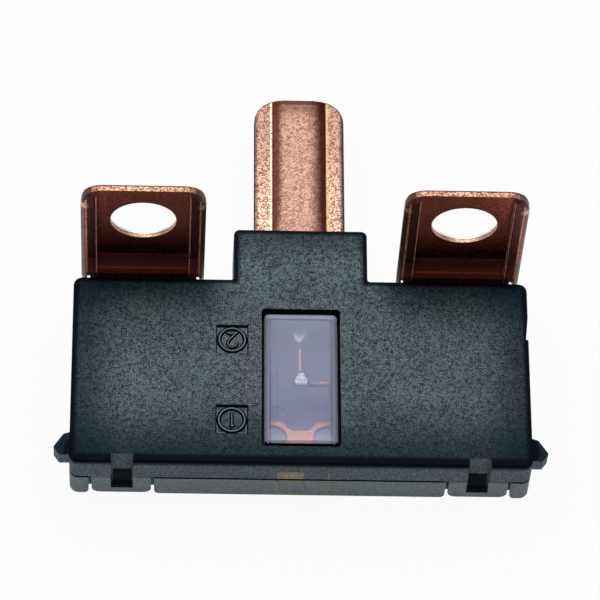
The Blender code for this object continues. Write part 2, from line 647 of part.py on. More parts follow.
def blade():
    """The blade terminal: both long edges are folded onto the front, the free end is coined thinner."""
    half = BLADE_WIDTH / 2
    recess = half - BLADE_FLAP_WIDTH
    front = SHEET_BACK + HEM_THICKNESS
    back = SHEET_BACK + DRAW_IN
    floor = SHEET_FRONT - DRAW_IN
    section = rounded([
        (-half, back, HEM_ROUND),
        (half, back, HEM_ROUND),
        (half, front, HEM_ROUND),
        (recess, front, 0.0),
        (recess, floor, 0.0),
        (-recess, floor, 0.0),
        (-recess, front, 0.0),
        (-half, front, HEM_ROUND),
    ])
    body = prism('blade', [section], BLADE_HEM_START, BLADE_END, plane='XZ')

    start = BLADE_HEM_START - MM
    shoulder = BLADE_END - BLADE_CORNER_ROUND
    plan = rounded([
        (-half - MM, start, 0.0),
        (half + MM, start, 0.0),
        (half + MM, shoulder, 0.0),
        (half, shoulder, 0.0),
        (half, BLADE_END, BLADE_CORNER_ROUND),
        (-half, BLADE_END, BLADE_CORNER_ROUND),
        (-half, shoulder, 0.0),
        (-half - MM, shoulder, 0.0),
    ])
    combine(body, prism('blade_plan', [plan], SHEET_BACK - MM, front + MM), 'INTERSECT')

    coined = [
        (BLADE_END - BLADE_CHAMFER_LENGTH, floor),
        (BLADE_END + MM, floor - BLADE_CHAMFER_DEPTH * (1 + MM / BLADE_CHAMFER_LENGTH)),
        (BLADE_END + MM, floor + HEM_THICKNESS),
        (BLADE_END - BLADE_CHAMFER_LENGTH, floor + HEM_THICKNESS),
    ]
    inside = recess - DRAW_IN
    combine(body, prism('blade_coined_end', [coined], -inside, inside, plane='YZ'), 'DIFFERENCE')
    return body


def fuse_element():
    """The whole stamping: flat sheet, blade and both tabs."""
    element = prism('fuse_element', sheet_outline(), SHEET_BACK, SHEET_FRONT, collection=parts)
    combine(element, blade(), 'UNION')
    for side, sign in (('right', 1), ('left', -1)):
        bent_neck, shelf = tab(side, sign)
        combine(element, bent_neck, 'UNION')
        combine(element, shelf, 'UNION')
    return element


def tin_pellet(name, start, length, widths):
    """A drop of tin that has run and set on the thin link: it swells between two blunt ends."""
    first, widest, last = widths
    base = SHEET_FRONT + FIT_GAP
    shoulder = start + PELLET_SHOULDER if first > last else start + length - PELLET_SHOULDER
    outline = [
        (-first / 2, start),
        (first / 2, start),
        (widest / 2, shoulder),
        (last / 2, start + length),
        (-last / 2, start + length),
        (-widest / 2, shoulder),
    ]
    return prism(name, [outline], base, base + PELLET_THICKNESS, collection=parts,
                 round_high=PELLET_ROUND, segments=2)


for old in list(bpy.data.objects):
    bpy.data.objects.remove(old)

parts = bpy.data.collections.new('battery_fuse')
cutters = bpy.data.collections.new('cutters')
bpy.context.scene.collection.children.link(parts)
bpy.context.scene.collection.children.link(cutters)

middle = bpy.data.objects.new('fuse_middle', None)
middle.location = (0.0, -BLADE_END / 2, 0.0)
parts.objects.link(middle)

black_plastic = material('black_plastic', (0.028, 0.034, 0.038), 0.45)
clear_violet = material('clear_violet_plastic', (0.55, 0.55, 0.78), 0.12, transmission=0.8)
frosted_violet = material('frosted_violet_plastic', (0.42, 0.42, 0.58), 0.4)
copper = material('copper', (0.72, 0.36, 0.25), 0.35, metallic=1.0)
tin = material('tin', (0.72, 0.72, 0.82), 0.25, metallic=1.0)

finish(front_cover(), black_plastic)
finish(back_cover(), black_plastic)
finish(window('window_front', HOUSING_DEPTH - PANE_SETBACK, 1), clear_violet)
finish(window_rear(), frosted_violet)
finish(fuse_element(), copper)
finish(tin_pellet('tin_pellet_upper', UPPER_PELLET_START, UPPER_PELLET_LENGTH,
                  (PELLET_NARROW, PELLET_WIDE, PELLET_BLUNT)), tin)
finish(tin_pellet('tin_pellet_lower', THIN_LINK_Y - LOWER_PELLET_OVERHANG, LOWER_PELLET_LENGTH,
                  (PELLET_BLUNT, PELLET_WIDE, PELLET_NARROW)), tin)
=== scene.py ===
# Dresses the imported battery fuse: grained black housing, violet windows, stamped copper, tin drops.
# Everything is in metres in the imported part's frame. It lies on its back, with the windows facing up.

import math

import bmesh
import bpy
from mathutils import Euler, Matrix, Vector


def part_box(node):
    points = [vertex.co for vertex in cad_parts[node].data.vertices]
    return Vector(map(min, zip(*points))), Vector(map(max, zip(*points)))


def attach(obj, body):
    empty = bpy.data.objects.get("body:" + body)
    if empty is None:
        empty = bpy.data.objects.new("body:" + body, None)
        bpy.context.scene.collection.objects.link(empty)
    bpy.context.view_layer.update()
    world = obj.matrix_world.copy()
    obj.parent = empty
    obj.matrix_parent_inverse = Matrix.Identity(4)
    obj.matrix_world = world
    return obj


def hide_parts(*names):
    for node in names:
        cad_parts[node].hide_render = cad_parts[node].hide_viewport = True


mm = 0.001

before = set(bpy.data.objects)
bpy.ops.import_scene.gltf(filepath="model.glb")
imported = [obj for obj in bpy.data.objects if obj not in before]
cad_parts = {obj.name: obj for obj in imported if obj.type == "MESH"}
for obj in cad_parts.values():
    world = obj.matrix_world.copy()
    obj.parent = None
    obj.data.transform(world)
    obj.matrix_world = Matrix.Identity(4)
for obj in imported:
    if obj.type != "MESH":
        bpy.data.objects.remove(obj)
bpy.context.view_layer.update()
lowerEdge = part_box("front_cover")[0].y   # where the housing's long lower side lies
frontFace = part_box("front_cover")[1].z
print("loaded", len(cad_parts), "nodes")


def addObject(name, data):
    thing = bpy.data.objects.new(name, data)
    bpy.context.scene.collection.objects.link(thing)
    return thing


# Camera, in the photo's own view

cameraView = {
    "tilt": -30.2901,            # degrees about X, then Y, then Z
    "turn": 2.0310,
    "roll": -0.9203,
    "offset": (-0.1073 * mm, -19.8900 * mm, -411.9356 * mm),
    "lens": 243.756,
    "film": 36.0,
}


def makeCamera(view):
    data = bpy.data.cameras.new("photoCamera")
    data.sensor_fit = "HORIZONTAL"
    data.sensor_width = view["film"]
    data.lens = view["lens"]
    data.clip_start = 0.02
    data.clip_end = 20.0
    camera = addObject("photoCamera", data)
    angles = [math.radians(view[key]) for key in ("tilt", "turn", "roll")]
    turn = Euler(angles, "XYZ").to_matrix().to_4x4()
    toCamera = Matrix.Translation(view["offset"]) @ turn
    camera.matrix_world = Matrix.Translation((0, lowerEdge, 0)) @ toCamera.inverted()
    bpy.context.scene.camera = camera


makeCamera(cameraView)
print("camera placed")


# Node helpers

class Value:   # what a node puts out, so that masks and lengths are written as plain arithmetic
    def __init__(self, socket):
        self.socket = socket
        self.tree = socket.id_data

    def __add__(self, other):
        return maths("ADD", self, other)

    def __sub__(self, other):
        return maths("SUBTRACT", self, other)

    def __rsub__(self, other):
        return maths("SUBTRACT", other, self)

    def __mul__(self, other):
        return maths("MULTIPLY", self, other)

    def __truediv__(self, other):
        return maths("DIVIDE", self, other)

    def __rtruediv__(self, other):
        return maths("DIVIDE", other, self)

    def __lt__(self, other):   # a mask: 1 where it holds and 0 elsewhere
        return maths("LESS_THAN", self, other)

    def __gt__(self, other):
        return maths("GREATER_THAN", self, other)

    def __abs__(self):
        return maths("ABSOLUTE", self)


def setInputs(node, inputs):   # an input gets a link, or a plain number, vector or colour
    for key, value in inputs.items():
        target = node.inputs[key]
        if isinstance(value, bpy.types.Node):
            value = Value(value.outputs[0])
        if isinstance(value, Value):
            node.id_data.links.new(value.socket, target)
        elif target.type == "RGBA":
            target.default_value = (*value, 1.0)
        else:
            target.default_value = value


def addNode(tree, kind, inputs=None, **settings):
    node = tree.nodes.new(kind)
    for key, value in settings.items():
        setattr(node, key, value)
    setInputs(node, inputs or {})
    return node


def maths(operation, *values):
    tree = [value.tree for value in values if isinstance(value, Value)][0]
    node = addNode(tree, "ShaderNodeMath", dict(enumerate(values)), operation=operation)
    return Value(node.outputs[0])


def larger(a, b):
    return maths("MAXIMUM", a, b)


def smaller(a, b):
    return maths("MINIMUM", a, b)


def clamped(value):   # kept between 0 and 1
    value.socket.node.use_clamp = True
    return value


def reach(a, b):   # the distance that two lengths at a right angle span
    return maths("SQRT", a * a + b * b)


def ramp(value, low, high, start=0.0, end=1.0):   # smooth step from low to high
    inputs = {"Value": value, "From Min": low, "From Max": high, "To Min": start, "To Max": end}
    node = addNode(value.tree, "ShaderNodeMapRange", inputs, interpolation_type="SMOOTHSTEP")
    return Value(node.outputs["Result"])


def mixColour(factor, a, b):   # a where the factor is 0, b where it is 1
    node = addNode(factor.tree, "ShaderNodeMix", {0: factor, 6: a, 7: b}, data_type="RGBA")
    return Value(node.outputs[2])


def noise(where, scale, detail, roughness):
    inputs = {"Vector": where, "Scale": scale, "Detail": detail, "Roughness": roughness}
    return Value(addNode(where.tree, "ShaderNodeTexNoise", inputs).outputs["Fac"])


def turned(where, angle):   # turns a pattern about Z
    inputs = {"Vector": where, "Rotation": (0.0, 0.0, math.radians(angle))}
    return Value(addNode(where.tree, "ShaderNodeMapping", inputs, vector_type="POINT").outputs[0])


def scaled(where, factor):
    inputs = {0: where, "Scale": factor}
    return Value(addNode(where.tree, "ShaderNodeVectorMath", inputs, operation="SCALE").outputs[0])


def splitXYZ(vector):
    node = addNode(vector.tree, "ShaderNodeSeparateXYZ", {0: vector})
    return [Value(socket) for socket in node.outputs]


def joinXYZ(parts):
    node = addNode(parts[0].tree, "ShaderNodeCombineXYZ", dict(enumerate(parts)))
    return Value(node.outputs[0])


def softEdges(where, radius):   # a normal that rounds off sharp edges
    return addNode(where.tree, "ShaderNodeBevel", {"Radius": radius}, samples=4)


def bump(height, distance, strength, normal=None):
    inputs = {"Strength": strength, "Distance": distance, "Height": height}
    if normal is not None:
        inputs["Normal"] = normal
    return Value(addNode(height.tree, "ShaderNodeBump", inputs).outputs["Normal"])


def valuesOf(node):   # all that a node puts out, by name
    return {socket.name: Value(socket) for socket in node.outputs}


def newGroup(kind, name, inputs, outputs):   # a named input has a socket type, or a number to start from
    tree = bpy.data.node_groups.new(name, kind)
    for label, start in inputs.items():
        isNumber = isinstance(start, float)
        socketType = "NodeSocket" + ("Float" if isNumber else start)
        socket = tree.interface.new_socket(label, in_out="INPUT", socket_type=socketType)
        if isNumber:
            socket.default_value = start
    for label, socketType in outputs.items():
        tree.interface.new_socket(label, in_out="OUTPUT", socket_type="NodeSocket" + socketType)
    given = addNode(tree, "NodeGroupInput")
    return tree, valuesOf(given), addNode(tree, "NodeGroupOutput")


def useGroup(group, where, **values):
    node = addNode(where.tree, "ShaderNodeGroup", node_tree=group)
    setInputs(node, {"where": where, **values})
    return valuesOf(node)


def newMaterial(name):
    made = bpy.data.materials.new(name)
    made.use_nodes = True
    tree = made.node_tree
    coords = addNode(tree, "ShaderNodeTexCoord")
    return made, tree.nodes["Principled BSDF"], valuesOf(coords)


# Shared effects

def makeGrain():   # fine moulded grain: a light speck mask and a height
    inputs = {"where": "Vector", "grainSize": 0.25 * mm, "contrast": 0.5}
    outputs = {"speck": "Float", "height": "Float"}
    tree, given, made = newGroup("ShaderNodeTree", "mouldedGrain", inputs, outputs)
    place = scaled(given["where"], 1.0 / given["grainSize"])
    both = noise(place, 1.0, 2.0, 0.6) * 0.72 + noise(place, 0.37, 1.0, 0.5) * 0.28
    gain = (both - 0.5) * (given["contrast"] * 8.0)
    setInputs(made, {"speck": clamped(gain + 0.5), "height": both})
    return tree


def makeScratches():   # fine curved lines left by the strip and the press
    inputs = {"where": "Vector", "lineWidth": 0.08 * mm, "lineLength": 1.2 * mm}
    outputs = {"line": "Float", "height": "Float"}
    tree, given, made = newGroup("ShaderNodeTree", "fineScratches", inputs, outputs)
    warp = addNode(tree, "ShaderNodeTexNoise", {"Vector": given["where"], "Scale": 260.0, "Detail": 1.0})
    shift = addNode(tree, "ShaderNodeVectorMath", operation="MULTIPLY_ADD")
    setInputs(shift, {0: Value(warp.outputs["Color"]), 1: (1.6 * mm, 1.6 * mm, 0.0), 2: given["where"]})
    x, y, z = splitXYZ(Value(shift.outputs[0]))
    place = joinXYZ([x / given["lineLength"], y / given["lineWidth"], z / given["lineLength"]])
    lines = noise(place, 1.0, 2.0, 0.55)
    setInputs(made, {"line": ramp(lines, 0.36, 0.64), "height": lines})
    return tree


def makePits():   # small round pits, more of them in patches
    inputs = {"where": "Vector", "spacing": 0.3 * mm, "amount": 0.5}
    tree, given, made = newGroup("ShaderNodeTree", "smallPits", inputs, {"pit": "Float"})
    place = scaled(given["where"], 1.0 / given["spacing"])
    cells = valuesOf(addNode(tree, "ShaderNodeTexVoronoi", {"Vector": place, "Scale": 1.0}, feature="F1"))
    dot = ramp(cells["Distance"], 0.16, 0.3, 1.0, 0.0)
    chance = addNode(tree, "ShaderNodeTexWhiteNoise", {"Vector": cells["Position"]}, noise_dimensions="3D")
    limit = given["amount"] * ramp(noise(given["where"], 420.0, 2.0, 0.6), 0.38, 0.68)
    setInputs(made, {"pit": dot * (Value(chance.outputs["Value"]) < limit)})
    return tree


grainGroup = makeGrain()
scratchGroup = makeScratches()
pitGroup = makePits()


# Black plastic of both covers

housingFinish = {
    "speckDark": (0.018, 0.027, 0.032),
    "speckLight": (0.204, 0.260, 0.281),
    "sideDark": (0.056, 0.077, 0.092),
    "sideLight": (0.165, 0.205, 0.232),
    "backDark": (0.160, 0.197, 0.212),
    "backLight": (0.270, 0.312, 0.328),
    "markLight": (0.270, 0.300, 0.320),
    "partingHeight": 3.45 * mm,
    # near black: the painted shade and painted dark reflection on rims, small rounds, the opening's walls
    # and outlines
    "edgeShade": (0.0012, 0.0032, 0.0075),
    "grainSize": 0.13 * mm,
    "grainContrast": 0.78,
    "grainDepth": 0.03 * mm,
    "roughness": 0.55,
    "specular": 0.04,
    "edgeRoughness": 0.36,
    "edgeRadius": 0.06 * mm,
    "rimShadeBand": (0.30 * mm, 0.85 * mm),   # painted dark reflection along the front's rim, full and faded out
    "rimShadeDrop": (0.30 * mm, 1.00 * mm),
    "rimWidth": 0.6 * mm,
    "marginWidth": 5.5 * mm,     # painted shade: the face darkens this far in from its rims
    "marginShadeColour": (0.003, 0.014, 0.024),
    "marginShade": 0.30,
    "lowMargin": 8.2 * mm,
    "lowShade": 0.16,
    "lowRimShade": (0.70 * mm, 1.20 * mm),   # the painted dark reflection is wider along the lower side
    "shoulderMargin": 6.5 * mm,
    "shoulderShade": 0.20,
    "bodyHalf": 23.25 * mm,
    "bodyHeight": 21.4 * mm,
    "towerHalf": 6.87 * mm,
    "towerTop": 27.4 * mm,
    "towerFade": 3.0 * mm,
    "latchCentre": 17.95 * mm,
    "latchHalf": 1.12 * mm,
    "latchHeight": 1.2 * mm,
    "openingHalf": 4.06 * mm,
    "opening": (1.98 * mm, 17.97 * mm),
}

numberFields = {
    "centreX": -7.0 * mm,
    "centres": {"one": 5.0 * mm, "two": 14.27 * mm},   # above the housing's lower edge
    "half": 1.6 * mm,
    "line": (0.035 * mm, 0.085 * mm),
    "lightInset": 0.15 * mm,
    "topBar": 0.14 * mm,
    "paleEdge": (-0.3 * mm, -0.2 * mm),
    "paleShare": 0.30,
}


def fieldDistance(x, along, fields):   # below zero inside the two square number fields
    across = abs(x - fields["centreX"])
    up = [abs(along - centre) for centre in fields["centres"].values()]
    return larger(across, smaller(*up)) - fields["half"]


def fieldLines(field, x, along, fields):   # painted shade along a field's outline, and the pale line inside it
    low, high = fields["line"]
    dark = ramp(abs(field), low, high, 0.95, 0.0)
    inset = abs(field + fields["lightInset"])
    light = ramp(inset, low, high, 0.75, 0.0)
    # painted shade along the top wall of each field
    tops = [centre + fields["half"] - 0.04 * mm for centre in fields["centres"].values()]
    fromTop = smaller(*[abs(along - top) for top in tops])
    bar = ramp(fromTop, fields["topBar"] - 0.03 * mm, fields["topBar"] + 0.02 * mm, 0.97, 0.0)
    across = abs(x - fields["centreX"])
    bar = bar * (across < fields["half"] + 0.05 * mm)
    return {"dark": larger(dark, bar), "light": light}


def outlineDistance(side, along, finish):   # how far inside the front's outline a point lies
    body = smaller(finish["bodyHalf"] - side, smaller(along, finish["bodyHeight"] - along))
    tower = smaller(finish["towerHalf"] - side, smaller(along, finish["towerTop"] - along))
    return larger(body, tower)


def makeHousingPlastic(finish):
    made, shader, coords = newMaterial("grainedBlackPlastic")
    where = coords["Object"]
    place = splitXYZ(where)
    facing = splitXYZ(coords["Normal"])
    grain = useGroup(grainGroup, where, grainSize=finish["grainSize"], contrast=finish["grainContrast"])
    front = mixColour(grain["speck"], finish["speckDark"], finish["speckLight"])
    sides = mixColour(grain["speck"], finish["sideDark"], finish["sideLight"])
    side = abs(place[0])
    along = place[1] - lowerEdge
    up = ramp(facing[2], 0.7, 0.95)
    field = fieldDistance(place[0], along, numberFields)
    inField = ramp(field, *numberFields["paleEdge"], 1.0, 0.0) * numberFields["paleShare"]
    front = mixColour(inField, front, finish["speckLight"])

    # painted shade: the face darkens towards its sides, its lower edge, its shoulders under the tabs and the
    # tower's top, with a little random tone
    fromSide = finish["bodyHalf"] - finish["rimWidth"] - side
    fromBottom = along - finish["rimWidth"]
    fromTop = finish["towerTop"] - along
    cloud = noise(where, 190.0, 2.0, 0.6)
    marginShading = ramp(fromSide, 0.0, finish["marginWidth"], finish["marginShade"], 1.0)
    marginShading = marginShading * ramp(fromBottom, 0.0, finish["lowMargin"], finish["lowShade"], 1.0)
    belowShoulder = finish["bodyHeight"] - along
    shoulder = ramp(belowShoulder, 0.0, finish["shoulderMargin"], finish["shoulderShade"], 1.0)
    offTower = ramp(side, finish["towerHalf"], finish["towerHalf"] + finish["towerFade"])
    shoulder = shoulder * offTower + (1.0 - offTower)
    marginShading = marginShading * shoulder
    marginShading = marginShading * ramp(fromTop, 0.0, finish["marginWidth"] * 0.8, 0.4, 1.0)
    marginShading = marginShading * ramp(cloud, 0.3, 0.7, 0.86, 1.08)
    front = mixColour(marginShading, finish["marginShadeColour"], front)
    lines = fieldLines(field, place[0], along, numberFields)
    front = mixColour(lines["light"], front, finish["speckLight"])
    front = mixColour(lines["dark"], front, finish["edgeShade"])
    backSides = mixColour(grain["speck"], finish["backDark"], finish["backLight"])
    onBack = ramp(place[2], finish["partingHeight"] - 0.1 * mm, finish["partingHeight"], 1.0, 0.0)
    sides = mixColour(onBack, sides, backSides)

    # painted dark reflection on the rims, but not on the latches and ears
    rimShadeTop = ramp(outlineDistance(side, along, finish), *finish["rimShadeBand"], 0.96, 0.0)
    rimShadeTop = larger(rimShadeTop, ramp(along, *finish["lowRimShade"], 0.96, 0.0))
    rimShadeSide = ramp(frontFace - place[2], *finish["rimShadeDrop"], 0.9, 0.0)
    latch = abs(side - finish["latchCentre"])
    latch = (latch < finish["latchHalf"]) * (along < finish["latchHeight"])
    onEar = side > finish["bodyHalf"] + 0.03 * mm
    offLatch = 1.0 - larger(latch, onEar)
    front = mixColour(rimShadeTop * offLatch, front, finish["edgeShade"])
    sides = mixColour(rimShadeSide * offLatch, sides, finish["edgeShade"])
    flatColour = mixColour(up, sides, front)

    # painted shade: the walls of the window's opening are painted near black; every small round gets a
    # painted dark reflection and is smoother
    inside = (side < finish["openingHalf"]) * (along > finish["opening"][0])
    inside = inside * (along < finish["opening"][1])
    inside = inside * (1.0 - up)
    flatColour = mixColour(inside, flatColour, finish["edgeShade"])
    flatness = larger(abs(facing[2]), reach(facing[0], facing[1]))
    flatMask = ramp(flatness, 0.985, 0.9995)
    edges = softEdges(where, finish["edgeRadius"])
    setInputs(shader, {
        "Base Color": mixColour(flatMask, finish["edgeShade"], flatColour),
        "Roughness": ramp(flatMask, 0.0, 1.0, finish["edgeRoughness"], finish["roughness"]),
        "Specular IOR Level": finish["specular"],
        "Normal": bump(grain["height"] * flatMask, finish["grainDepth"], 0.7, edges),
    })
    return made


def makeMarkPlastic(finish):   # raised strokes: pale on top, with painted shade down their sides
    made, shader, coords = newMaterial("raisedMarkPlastic")
    facing = splitXYZ(coords["Normal"])
    grain = useGroup(grainGroup, coords["Object"], grainSize=finish["grainSize"], contrast=0.4)
    top = mixColour(grain["speck"], finish["sideLight"], finish["markLight"])
    setInputs(shader, {
        "Base Color": mixColour(ramp(facing[2], 0.96, 0.99), finish["edgeShade"], top),
        "Roughness": finish["roughness"],
        "Specular IOR Level": finish["specular"],
    })
    return made


# Copper of the element

copperFinish = {
    "centreDark": (0.27, 0.135, 0.098),
    "centreLight": (0.585, 0.360, 0.262),
    "railDark": (0.29, 0.130, 0.090),
    "railLight": (0.79, 0.545, 0.395),
    "railPale": (0.95, 0.800, 0.640),
    "innerHighlightLeft": (0.82, 0.720, 0.500),
    "innerHighlightRight": (0.70, 0.430, 0.210),
    "insideDark": (0.95, 0.330, 0.170),
    "insideLight": (1.00, 0.470, 0.280),
    "innerHighlightWidth": 0.22 * mm,
    "leftShade": (0.085, 0.018, 0.009),
    "rightShade": (0.036, 0.005, 0.003),
    "endBrown": (0.185, 0.070, 0.055),
    "chamfer": (0.085, 0.045, 0.032),
    # painted shade for the contours
    "outline": (0.012, 0.006, 0.005),
    "pit": (0.035, 0.014, 0.010),
    "roughness": 0.34,
    "scratches": ((-38.0, 0.07 * mm, 0.6 * mm), (36.0, 0.09 * mm, 0.4 * mm)),   # angle, width and length
    "scratchDepth": 0.02 * mm,
    "mottleSize": 0.17 * mm,
    "mottleDepth": 0.014 * mm,
    "pitSpacing": 0.27 * mm,
    "fewPitSpacing": 0.40 * mm,
    "edgeRadius": 0.07 * mm,
    "railInside": 2.83 * mm,
    "leftFold": (1.45 * mm, 2.30 * mm),      # where the painted shade beside each rail starts and is full
    "rightFold": (0.85 * mm, 2.45 * mm),
    "endRound": (1.55 * mm, 42.37 * mm, 3.2 * mm),   # centre and radius of the free end's round corners
    "endDark": (0.55 * mm, 0.62 * mm),
    "endShade": (0.9 * mm, 2.7 * mm),        # painted shade: the blade darkens towards its coined end
    "bladeStart": 18.0 * mm,                 # above the housing's lower edge
    "bladeHalf": 5.2 * mm,
    "railPaler": (27.0 * mm, 21.0 * mm),     # the rails are paler low down and darker high up
    "railDarker": (31.0 * mm, 40.0 * mm),
    "foldWander": 0.6 * mm,
    "foldThins": (34.0 * mm, 22.0 * mm),
    "fewPitsBelow": (26.0 * mm, 34.0 * mm),
    "linkPlace": 11.22 * mm,
    "linkHalf": (0.45 * mm, 0.55 * mm),
    "linkStart": (1.62 * mm, 1.82 * mm),
    "linkTin": (0.30, 0.31, 0.44),
}

bladeEnd = {
    "start": 42.37 * mm,         # where the round corners of the free end start
    "flapShare": 0.84,           # the folded flaps end a little behind the sheet
    "flapHeight": 3.6 * mm,      # above this it is the flaps, below it the sheet
    "coinedDepth": 0.3 * mm,
    "coinedBeyond": 2.5 * mm,
    "coinedShare": 0.45,
    "sheetFace": 3.53 * mm,
}

tabFinish = {
    "start": 5.3 * mm,                       # height above the back face
    "centre": 16.2 * mm,
    "half": 6.3 * mm,
    "flapInside": 4.7 * mm,                  # from the tab's middle
    "under": (0.70, 0.175, 0.110),
    "underLow": (0.42, 0.065, 0.038),
    # painted shade, and painted red reflection with tarnished copper, low on the underside
    "underShade": (0.045, 0.014, 0.010),
    "tarnishAndReflection": (0.060, 0.016, 0.014),
    "reflectionRed": (0.200, 0.038, 0.022),
    "reflectionDeepRed": (0.850, 0.140, 0.075),
    "backDark": (0.30, 0.150, 0.108),
    "backLight": (0.58, 0.350, 0.255),
    "reflectionBandTop": 9.5 * mm,
    "flap": (0.160, 0.045, 0.034),
    "flapEnd": (0.040, 0.016, 0.012),
    "edge": (0.26, 0.105, 0.070),
    "edgeLight": (0.62, 0.340, 0.220),
    "edgeYellow": (0.74, 0.520, 0.290),
    "strip": (0.085, 0.042, 0.034),
    # painted highlights on the corners and along the folds
    "cornerGlint": (1.00, 0.660, 0.400),
    "line": (0.92, 0.380, 0.220),
    "glintPlace": (5.90 * mm, 19.60 * mm),    # from the tab's middle, and above the back face
    "glintSize": (0.26 * mm, 0.60 * mm),
    "flapFace": 22.66 * mm,                  # above the housing's lower edge
    "punchLine": 23.10 * mm,
    "burnish": (23.12 * mm, 23.16 * mm),
    "faceTop": 23.35 * mm,
    "underFade": (11.5 * mm, 16.0 * mm),     # above the back face
    "neckFade": (10.6 * mm, 12.6 * mm),
    "redFade": (6.6 * mm, 8.4 * mm),
    "deepFade": (6.55 * mm, 6.95 * mm),
    "topFade": (18.0 * mm, 19.5 * mm),
    "yellowFade": (1.2 * mm, 5.2 * mm),      # from the tab's middle
    "holeFade": (0.6 * mm, 2.6 * mm),
    "hemInset": 0.56 * mm,
    "stripeScale": 2600.0,
    "holeCentre": 16.0 * mm,
    "holeRadius": 3.33 * mm,
}


def makeCopper(finish, tab):
    made, shader, coords = newMaterial("stampedCopper")
    where = coords["Object"]
    place = splitXYZ(where)
    facing = splitXYZ(coords["Normal"])
    scratch, crossing = [
        useGroup(scratchGroup, turned(where, angle), lineWidth=width, lineLength=length)
        for angle, width, length in finish["scratches"]
    ]
    grain = useGroup(grainGroup, where, grainSize=finish["mottleSize"], contrast=1.0)
    pits = useGroup(pitGroup, where, spacing=finish["pitSpacing"], amount=1.0)
    fewPits = useGroup(pitGroup, where, spacing=finish["fewPitSpacing"], amount=0.35)
    masks = {
        "side": abs(place[0]),
        "along": place[1] - lowerEdge,
        "up": ramp(facing[2], 0.7, 0.95),
        "mottle": grain["speck"],
        "streak": scratch["line"] * (crossing["line"] * 0.5 + 0.5),
        "pits": pits["pit"],
        "fewPits": fewPits["pit"],
    }
    blade = bladeColour(place, facing, masks, finish)
    tabs, tarnishAndReflection = tabColour(place, facing, masks, tab)
    inTab = ramp(place[2], tab["start"], tab["start"] + 0.4 * mm)
    rough = ramp(grain["speck"], 0.0, 1.0, finish["roughness"] + 0.08, finish["roughness"] - 0.06)
    edges = softEdges(where, finish["edgeRadius"])
    normal = bump(scratch["height"], finish["scratchDepth"], 0.8, edges)
    setInputs(shader, {
        "Base Color": mixColour(inTab, blade, tabs),
        "Metallic": 1.0 - tarnishAndReflection * inTab,
        "Roughness": rough,
        "Normal": bump(grain["height"], finish["mottleDepth"], 0.8, normal),
    })
    return made


def bladeColour(place, facing, masks, finish):
    side, along = masks["side"], masks["along"]
    onBlade = along > finish["bladeStart"]
    inBlade = side < finish["bladeHalf"]
    onRail = ramp(side, finish["railInside"] - 0.04 * mm, finish["railInside"] + 0.02 * mm)
    notRail = inBlade * (1.0 - onRail)
    onRail = inBlade * onRail
    texture = masks["mottle"] * 0.45 + masks["streak"] * 0.55
    centre = mixColour(ramp(texture, 0.12, 0.72), finish["centreDark"], finish["centreLight"])
    rail = mixColour(ramp(masks["mottle"], 0.22, 0.62), finish["railDark"], finish["railLight"])
    paler = ramp(along, *finish["railPaler"], 0.0, 0.6) * masks["mottle"]
    rail = mixColour(paler, rail, finish["railPale"])
    rail = mixColour(ramp(along, *finish["railDarker"], 0.0, 0.5), rail, finish["railDark"])
    colour = mixColour(onRail, centre, rail)
    inside = mixColour(masks["mottle"], finish["insideDark"], finish["insideLight"])
    colour = mixColour(onBlade, inside, colour)
    tinned = ramp(abs(along - finish["linkPlace"]), *finish["linkHalf"], 1.0, 0.0)
    tinned = tinned * ramp(place[0], *finish["linkStart"], 1.0, 0.0)
    colour = mixColour(tinned, colour, finish["linkTin"])

    # the free end: painted shade, dark on the coined edge, then brown and fading into the bright face
    middleX, middleY, radius = finish["endRound"]
    dx = larger(side - middleX, 0.0)
    dy = larger(along - middleY, 0.0)
    fromEnd = radius - reach(dx, dy)
    endShading = ramp(fromEnd, *finish["endShade"], 0.85, 0.0) * notRail
    colour = mixColour(endShading * ramp(texture, 0.2, 0.8, 1.0, 0.75), colour, finish["endBrown"])
    coined = ramp(fromEnd, *finish["endDark"], 0.9, 0.0) * notRail
    colour = mixColour(coined, colour, finish["chamfer"])

    # painted shade beside each folded rail
    noisy = noise(joinXYZ(place), 1500.0, 2.0, 0.6) - 0.5
    across = place[0] + noisy * finish["foldWander"]
    narrower = ramp(along, *finish["foldThins"], 0.0, 0.35 * mm)   # the painted shade thins out lower down
    leftward = across * -1.0 - narrower
    rightward = across - narrower
    foldShade = larger(ramp(leftward, *finish["leftFold"], 0.0, 0.90),
                  ramp(rightward, *finish["rightFold"], 0.0, 0.97))
    foldShade = foldShade * (notRail * onBlade) * masks["up"]
    onRight = place[0] > 0.0
    colour = mixColour(foldShade, colour, mixColour(onRight, finish["leftShade"], finish["rightShade"]))

    # a painted highlight along each rail's folded edge, pits, and painted shade on the outer contours
    innerHighlight = side < finish["railInside"] + finish["innerHighlightWidth"]
    innerHighlight = innerHighlight * (onRail * masks["up"])
    innerHighlight = innerHighlight * ramp(masks["mottle"], 0.05, 0.35, 0.45, 0.95)
    highlightColour = mixColour(onRight, finish["innerHighlightLeft"], finish["innerHighlightRight"])
    colour = mixColour(innerHighlight, colour, highlightColour)
    low = ramp(along, *finish["fewPitsBelow"], 1.0, 0.0)
    pitMask = mixColour(onRail, masks["fewPits"] * low, masks["pits"])
    colour = mixColour(pitMask, colour, finish["pit"])
    # painted shade: dark contours where the rails round off, wider on the right, along the flaps' ends and
    # on the blade's end faces
    leaning = facing[2] - onRight * 0.16
    contour = ramp(leaning, 0.45, 0.84, 1.0, 0.0)
    fromArc = radius - reach(dx, dy / bladeEnd["flapShare"])
    arcLine = ramp(fromArc, 0.05 * mm, 0.13 * mm, 0.9, 0.0) * (dy > 0.0)
    contour = larger(contour, arcLine) * onRail * onBlade
    tipLine = ramp(facing[1], 0.5, 0.8) * (onBlade * inBlade)
    return mixColour(larger(contour, tipLine), colour, finish["outline"])


